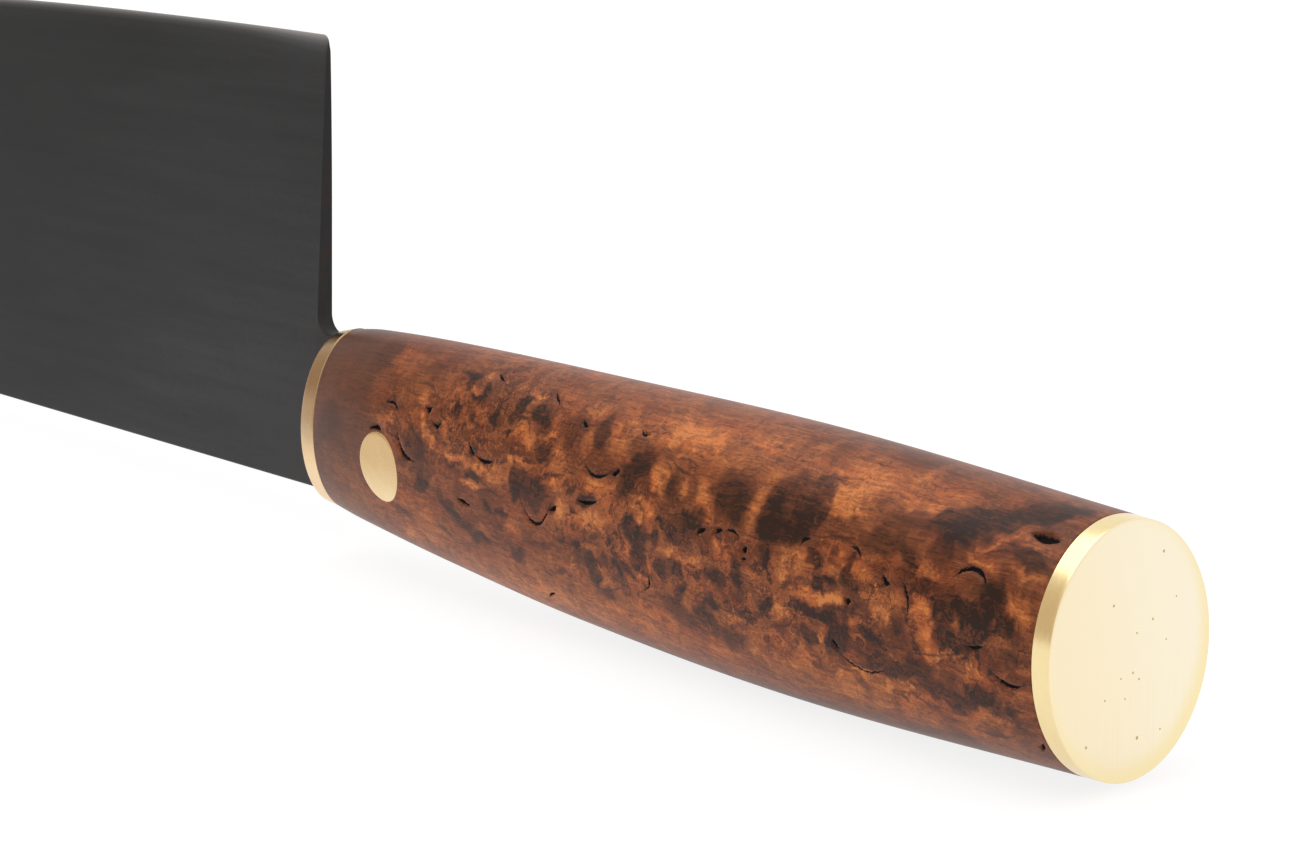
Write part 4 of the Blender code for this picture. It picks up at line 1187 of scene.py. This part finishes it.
# %% One half section, from the middle of the spine up the flank to the edge
NECK_ROWS, FLANK_ROWS, EASE_STEPS = 8, 44, 4
# the spine's rim is eased by this much, but never by more than this share of the section's height
SPINE_EASE, EASE_MOST = 0.0003, 0.2
EDGE_HALF = 0.00005


def flank_points(s, low, heights):
    ease = min(SPINE_EASE, EASE_MOST * (heights[-1] - low))
    corner = flank_half(s, low)
    side = min(ease, corner / 2)
    eased = []
    for k in range(EASE_STEPS + 1):
        turn = math.pi / 2 * k / EASE_STEPS
        z = low + ease * (1 - math.cos(turn))
        eased.append((flank_half(s, z) - side * (1 - math.sin(turn)), z))
    return [(0.0, low)] + eased + [(flank_half(s, z), z) for z in heights]


def between(low, high, count):
    return [low + (high - low) * k / count for k in range(1, count + 1)]


def blade_section(s):
    low, shoulder = spine_z(s), shoulder_z(s)
    share = (NECK_TOP + NECK_FILLET - SPINE_Z) / (HEEL_Z - HEEL_ROUND - BEVEL_HEIGHT - SPINE_Z)
    split = low + (shoulder - low) * share
    heights = between(low, split, NECK_ROWS) + between(split, shoulder, FLANK_ROWS - NECK_ROWS)
    return flank_points(s, low, heights) + [(EDGE_HALF, edge_z(s)), (0.0, edge_z(s))]


def neck_section(s):
    top = neck_top(s)
    return flank_points(s, SPINE_Z, between(SPINE_Z, top, NECK_ROWS)) + [(0.0, top)]


print("one half section has", len(blade_section(HEEL_STATION)), "points")

# %% Stations of the blade
CORNER_STEPS, BLADE_STEPS = 10, 150
TIP_SHORT = 0.0004
quarter = [1 - math.cos(math.pi / 2 * k / CORNER_STEPS) for k in range(1, CORNER_STEPS + 1)]
run = BLADE_LENGTH - TIP_SHORT - HEEL_ROUND
blade_stations = [HEEL_STATION] + [HEEL_STATION + HEEL_ROUND * q for q in quarter]
for k in range(1, BLADE_STEPS + 1):
    blade_stations.append(HEEL_STATION + HEEL_ROUND + run * math.sin(math.pi / 2 * k / BLADE_STEPS))
print("blade:", len(blade_stations), "stations")

# %% Rows of the blade, with each point's distance from edge and heel
bm = bmesh.new()
from_edge = bm.verts.layers.float.new("from_edge")
from_heel = bm.verts.layers.float.new("from_heel")


def row(s, points):
    made = []
    for y, z in points:
        vert = bm.verts.new((-(s - lean_at(s) * (z - BOLSTER_RISE)), y, z))
        vert[from_edge] = (edge_z(max(s, HEEL_STATION + HEEL_ROUND)) - z) / MM
        vert[from_heel] = (s - HEEL_STATION) / MM
        made.append(vert)
    return made


def skin_rows(rows):
    for low, high in zip(rows, rows[1:]):
        for k in range(len(low) - 1):
            bm.faces.new((low[k], low[k + 1], high[k + 1], high[k]))


blade_rows = [row(s, blade_section(s)) for s in blade_stations]
skin_rows(blade_rows)
bm.faces.new(blade_rows[-1])
print("flank:", len(bm.faces), "faces")

# %% The heel's narrow face, the neck and the tang
split = 1 + EASE_STEPS + NECK_ROWS
heel = blade_rows[0]
heights = [z for _, z in blade_section(HEEL_STATION)]
middle = row(HEEL_STATION, [(0.0, z) for z in heights[split:-2]]) + [heel[-1]]
skin_rows([heel[split:-1], middle])
neck = [row(HEEL_STATION - NECK_FILLET * q, neck_section(HEEL_STATION - NECK_FILLET * q)) for q in quarter]
neck.append(row(HANDLE_LENGTH, neck_section(HANDLE_LENGTH)))


def tang_section(s):
    share = (s - TANG_END) / (HANDLE_LENGTH - TANG_END)
    half_height = TANG_END_HEIGHT + (TANG_ROOT_HEIGHT - TANG_END_HEIGHT) * share
    low, high = PIN_RISE - half_height, PIN_RISE + half_height
    eased = [
        (TANG_HALF - SPINE_EASE * (1 - math.sin(t)), low + SPINE_EASE * (1 - math.cos(t)))
        for t in np.linspace(0, math.pi / 2, EASE_STEPS + 1)
    ]
    heights = between(low, high, NECK_ROWS)
    return [(0.0, low)] + eased + [(TANG_HALF, z) for z in heights] + [(0.0, high)]


tang = [row(s, tang_section(s)) for s in (HANDLE_LENGTH, PIN_STATION, TANG_END)]
skin_rows([heel[: split + 1] + [middle[0]]] + neck + tang)
bm.faces.new(tang[-1])
print("half the blade:", len(bm.verts), "points")

# %% Mirroring, and the bore for the pin
MERGE, NOTHING = 0.005 * MM, 0.0005 * MM
bmesh.ops.mirror(bm, geom=bm.verts[:] + bm.edges[:] + bm.faces[:], axis="Y", merge_dist=MERGE)
bmesh.ops.dissolve_degenerate(bm, dist=NOTHING, edges=bm.edges)
bmesh.ops.recalc_face_normals(bm, faces=bm.faces)
mesh = bpy.data.meshes.new("forged_blade")
bm.to_mesh(mesh)
bm.free()
mesh.shade_smooth()
mesh.set_sharp_from_angle(angle=math.radians(28))
blade = bpy.data.objects.new("forged_blade", mesh)
bpy.context.scene.collection.objects.link(blade)
cut(blade, [pin_cutter])
print("blade:", len(blade.data.vertices), "points")

# %% [markdown]
# ## Forged steel
# The flanks keep the dark skin of the forge, rubbed smooth: nearly black, with a soft sheen and faint
# streaks along the blade. Only the last millimetre at the edge is bare, freshly ground steel. The heel
# face shows a little rust, and is painted an even, darker grey: a painted reflection of the dim room.
# Two materials would meet in a hard line, so one finish blends from skin to bare metal, by each
# point's distance from the edge, which the blade's mesh carries. The skin is painted paler towards the
# spine and the heel, a painted reflection of the room, which it mirrors more there.

# %% The blade's finish
steel, tree, surface = new_finish("forged_steel")
where = in_mm(tree)
edge_mm = node(tree, "Attribute", attribute_name="from_edge").outputs["Fac"]
heel_mm = node(tree, "Attribute", attribute_name="from_heel").outputs["Fac"]
streaks = noise(tree, stretched(tree, where, 0.03, 1.0, 0.5), 1.0, 5.0, 0.6).outputs[0]
mottle = noise(tree, stretched(tree, where, 0.25, 1.0, 1.0), 0.09, 4.0, 0.6, 0.3).outputs[0]
scale_skin = noise(tree, where, 2.2, 4.0, 0.65).outputs[0]
# painted reflection: the skin is made paler towards the spine and the heel
painted_reflection_to_spine = soft_step(tree, edge_mm, 8.0, 54.0, 0.0, 0.30)
painted_reflection_to_heel = soft_step(tree, heel_mm, 90.0, -2.0, 0.0, 0.49)
clouded = [weighed(tree, streaks, 0.42), weighed(tree, mottle, 0.30), weighed(tree, scale_skin, 0.30)]
DARKEST_TONE = 0.25
tone = together(tree, [DARKEST_TONE, painted_reflection_to_spine, painted_reflection_to_heel] + clouded)
SKIN = (
    (0.1, (0.0060, 0.0060, 0.0061)),
    (0.5, (0.0150, 0.0148, 0.0150)),
    (0.8, (0.0290, 0.0283, 0.0286)),
    (1.0, (0.0440, 0.0428, 0.0430)),
)
skin_colour = stain_ramp(tree, tone, SKIN)
print("forged skin:", len(tree.nodes), "nodes")

# %% The bare edge
# how far its ramp runs per millimetre; by the heel only this share of that, and so the strip is wider
RAMP_PER_MM, HEEL_SHARE = 0.40, 0.55
ground_lines = noise(tree, stretched(tree, where, 3.0, 3.0, 0.3), 2.0, 3.0).outputs[0]
frayed_edge = maths(tree, "MULTIPLY_ADD", ground_lines, 0.25, edge_mm)
by_heel = soft_step(tree, heel_mm, 22.0, 0.0, 1.0, HEEL_SHARE)
from_line = times(tree, frayed_edge, times(tree, by_heel, RAMP_PER_MM))
BARE = (
    (0.00, (1.0, 1.0, 1.0)),
    (0.08, (0.50, 0.50, 0.50)),
    (0.18, (0.21, 0.21, 0.21)),
    (0.30, (0.085, 0.085, 0.085)),
    (0.50, (0.02, 0.02, 0.02)),
    (0.90, (0.0, 0.0, 0.0)),
)
ground = stain_ramp(tree, from_line, BARE)
bare = stain_ramp(tree, ground_lines, ((0.3, (0.50, 0.50, 0.51)), (0.7, (0.62, 0.62, 0.63))))
widest_trace = BARE[-1][0] / (RAMP_PER_MM * HEEL_SHARE)
print("its last trace ends at most", round(widest_trace, 1), "mm from the edge")

# %% The heel's face, and all of the steel
heel_face = soft_step(tree, heel_mm, 0.12, 0.0)
rust_cloud = noise(tree, where, 0.5, 4.0, 0.65).outputs[0]
rust = times(tree, soft_step(tree, rust_cloud, 0.46, 0.66), heel_face)
steel_colour = blended(tree, ground, skin_colour, bare)
# painted reflection: the heel's face is painted an even, darker grey, as it mirrors the dim room
steel_colour = blended(tree, times(tree, heel_face, 0.6), steel_colour, (0.030, 0.029, 0.029, 1.0))
steel_colour = blended(tree, times(tree, rust, 0.4), steel_colour, (0.050, 0.028, 0.020, 1.0))
plug(tree, surface.inputs["Base Color"], steel_colour)
plug(tree, surface.inputs["Roughness"], maths(tree, "MULTIPLY_ADD", scale_skin, 0.16, 0.26))
plug(tree, surface.inputs["Metallic"], times(tree, ground, 0.9))
surface.inputs["Specular IOR Level"].default_value = 0.10
relief = maths(tree, "ADD", scale_skin, streaks)
bump = node(tree, "Bump", {"Strength": 0.12, "Distance": 0.03 * MM, "Height": relief})
plug(tree, surface.inputs["Normal"], bump.outputs[0])
blade.data.materials.clear()
blade.data.materials.append(steel)
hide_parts("blade")
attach(blade, "root")
print("steel finish:", len(tree.nodes), "nodes")

# %% [markdown]
# ## The pieces inside
# The resin bed and the two dowels never show, but they are real pieces and get real finishes: cured
# resin with a few specks of wood dust, and plain drawn brass. Their exact shapes are right as they
# are, so they keep their meshes and only their materials are exchanged.

# %% Resin and dowels
resin, tree, surface = new_finish("cured_resin")
where = in_mm(tree)
dust = noise(tree, where, 1.4, 5.0, 0.7).outputs[0]
AMBER = (
    (0.35, (0.50, 0.37, 0.17)),
    (0.55, (0.58, 0.45, 0.22)),
    (0.72, (0.22, 0.12, 0.06)),
)
amber = stain_ramp(tree, dust, AMBER)
plug(tree, surface.inputs["Base Color"], amber)
plug(tree, surface.inputs["Roughness"], maths(tree, "MULTIPLY_ADD", dust, 0.3, 0.15))
bump = node(tree, "Bump", {"Strength": 0.2, "Distance": 0.05 * MM, "Height": dust})
plug(tree, surface.inputs["Normal"], bump.outputs[0])
drawn_brass = brass_finish(
    "drawn_brass", (0.80, 0.62, 0.30), (0.66, 0.48, 0.22), 0.40, (0.3, 5.0, 5.0)
)[0]
inner_finishes = {"tang_bed": resin, "cap_dowel_upper": drawn_brass, "cap_dowel_lower": drawn_brass}
for name, finish in inner_finishes.items():
    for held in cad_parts[name].material_slots:
        held.material = finish
print("hidden pieces dressed")

# %% [markdown]
# ## The studio
# The knife lies over a pale floor that runs on out of sight, lit by soft daylight from all round and
# one large soft box above its near side. More light would make the floor white, but it would burn the
# brass out too. So floor and sky are white only to rays that come from the camera, off metal or
# through glass, and stay a plain grey level as lights. The floor keeps a little real paint in it, and
# still darkens where the knife keeps the light off it.

# %% The floor
FLOOR_REACH = 6.0
PAINT, THIN_PAINT, GLOW = 0.80, 0.22, 0.84


def grey(level):
    return (level, level, level, 1.0)


def seen_by_eye(tree):
    """1 for what is seen straight on, in metal or through glass, 0 for light on its way to the knife."""
    rays = node(tree, "LightPath").outputs
    return together(tree, [rays["Is Camera Ray"], rays["Is Glossy Ray"], rays["Is Transmission Ray"]])


def stage_finish(name):
    """A material without a surface yet, its tree and the socket for the surface."""
    finish, tree, surface = new_finish(name)
    tree.nodes.remove(surface)
    return finish, tree, tree.nodes["Material Output"].inputs["Surface"]


floor_z = exact_box[0][2]
signs = ((-1, -1), (1, -1), (1, 1), (-1, 1))
corners = [(x * FLOOR_REACH, y * FLOOR_REACH, floor_z) for x, y in signs]
floor = mesh_piece("pale_floor", corners, [(0, 1, 2, 3)])
floor_paint, tree, out = stage_finish("pale_floor")
seen = seen_by_eye(tree)
paint = node(tree, "BsdfDiffuse", {"Color": grey(PAINT)}).outputs[0]
thin_paint = node(tree, "BsdfDiffuse", {"Color": grey(THIN_PAINT)}).outputs[0]
glow = node(tree, "Emission", {"Color": grey(1.0), "Strength": GLOW}).outputs[0]
bright = node(tree, "AddShader", {0: thin_paint, 1: glow}).outputs[0]
plug(tree, out, node(tree, "MixShader", {0: seen, 1: paint, 2: bright}).outputs[0])
floor.data.materials.append(floor_paint)
print("floor at", round(floor_z / MM, 2), "mm")

# %% [markdown]
# ### The dim card
# Brass in a room that is white all round looks like paper. A photographer stands a dim card where the
# metal mirrors it, and so a warm brown one stands here, four metres off past the blade, on the near
# side. It is not lit: it glows dimly by itself in that brown. It thins out from its middle like gauze,
# so that no hard edge shows in the metal, and the camera itself doesn't see it.

# %% The dim card
CARD_AWAY, CARD_HALF, CARD_HEIGHT = 4.0, 3.9, 3.9
CARD_MIDDLE_RISE = 0.07
# the gauze is thickest within the first distance of the card's middle, and gone past the second
THICK_WITHIN, GONE_PAST, THICKEST = 1.3, 3.6, 0.85
CARD_COLOUR = (0.58, 0.46, 0.35, 1.0)
card_way = Vector((-0.80, -0.56, 0.0)).normalized()
aside = Vector((0, 0, 1)).cross(card_way)
foot = CARD_AWAY * card_way + Vector((0, 0, floor_z))
left, right, top = -CARD_HALF * aside, CARD_HALF * aside, Vector((0, 0, CARD_HEIGHT))
corners = [foot + left, foot + right, foot + right + top, foot + left + top]
card = mesh_piece("dim_card", corners, [(0, 1, 2, 3)])
card_cloth, tree, out = stage_finish("dim_card")
card_middle = CARD_AWAY * Vector((*card_way.xy, CARD_MIDDLE_RISE))
place = node(tree, "TexCoord").outputs["Object"]
from_middle = node(tree, "VectorMath", {0: place, 1: card_middle}, operation="DISTANCE")
thick = soft_step(tree, from_middle.outputs["Value"], GONE_PAST, THICK_WITHIN, 0.0, THICKEST)
clear = node(tree, "BsdfTransparent").outputs[0]
# the card is no lamp and no lit cloth: it glows by itself with this dim brown
card_glow = node(tree, "Emission", {"Color": CARD_COLOUR, "Strength": 1.0}).outputs[0]
plug(tree, out, node(tree, "MixShader", {0: thick, 1: clear, 2: card_glow}).outputs[0])
card.data.materials.append(card_cloth)
card.visible_camera = False
print("card towards", [round(v, 2) for v in card_way])

# %% The light
world = bpy.data.worlds.new("studio")
bpy.context.scene.world = world
world.use_nodes = True
tree = world.node_tree
way = node(tree, "TexCoord").outputs["Generated"]
up = node(tree, "SeparateXYZ", {0: way}).outputs[2]
DAYLIGHT = (
    (0.0, (0.85, 0.85, 0.85)),
    (0.5, (0.87, 0.87, 0.87)),
    (1.0, (0.95, 0.95, 0.96)),
)
dome = stain_ramp(tree, up, DAYLIGHT)
background = tree.nodes["Background"]
plug(tree, background.inputs["Color"], blended(tree, seen_by_eye(tree), dome, grey(1.0)))
background.inputs["Strength"].default_value = 1.0


def soft_box(name, place, target, size, power):
    lamp = bpy.data.lights.new(name, "AREA")
    lamp.shape, lamp.size, lamp.size_y = "RECTANGLE", *size
    lamp.energy = power
    held = bpy.data.objects.new(name, lamp)
    held.location = place
    held.rotation_euler = (Vector(target) - Vector(place)).to_track_quat("-Z", "Y").to_euler()
    bpy.context.scene.collection.objects.link(held)
    return held


BOX_PLACE, BOX_AIM = (-0.235, -0.085, 0.36), (-0.20, -0.06, 0.0)
BOX_SIZE, BOX_POWER = (0.32, 0.34), 0.38
lamp = soft_box("soft_box", BOX_PLACE, BOX_AIM, BOX_SIZE, BOX_POWER)
print(lamp.name, "of", BOX_POWER, "watt")

# %% [markdown]
# ## The camera
# The picture was taken with a long lens from behind the butt, a little to the near side and above. A
# camera that is only aimed by eye never quite matches, so place, aim, roll and lens come from fitting
# the handle's ends, the pin and the heel to the picture.

# %% The camera
CAMERA_PLACE, CAMERA_AIM = Vector((0.21358, -0.22428, 0.08336)), Vector((-0.7649, 0.6116, -0.2023))
ROLL, LENS, SENSOR = math.radians(-0.628), 100.01, 36.0
camera_data = bpy.data.cameras.new("camera")
camera_data.sensor_fit, camera_data.sensor_width, camera_data.lens = "HORIZONTAL", SENSOR, LENS
camera_data.clip_start, camera_data.clip_end = 0.01, 50.0
forward = CAMERA_AIM.normalized()
level = forward.cross(Vector((0, 0, 1))).normalized()
upward = level.cross(forward)
right = math.cos(ROLL) * level + math.sin(ROLL) * upward
above = -math.sin(ROLL) * level + math.cos(ROLL) * upward
camera = bpy.data.objects.new("camera", camera_data)
turned = Matrix((right, above, -forward)).transposed().to_4x4()
camera.matrix_world = Matrix.Translation(CAMERA_PLACE) @ turned
bpy.context.scene.collection.objects.link(camera)
bpy.context.scene.camera = camera
bpy.context.scene.view_settings.view_transform = "Standard"
print("camera", round(CAMERA_PLACE.length / MM), "mm from the butt")
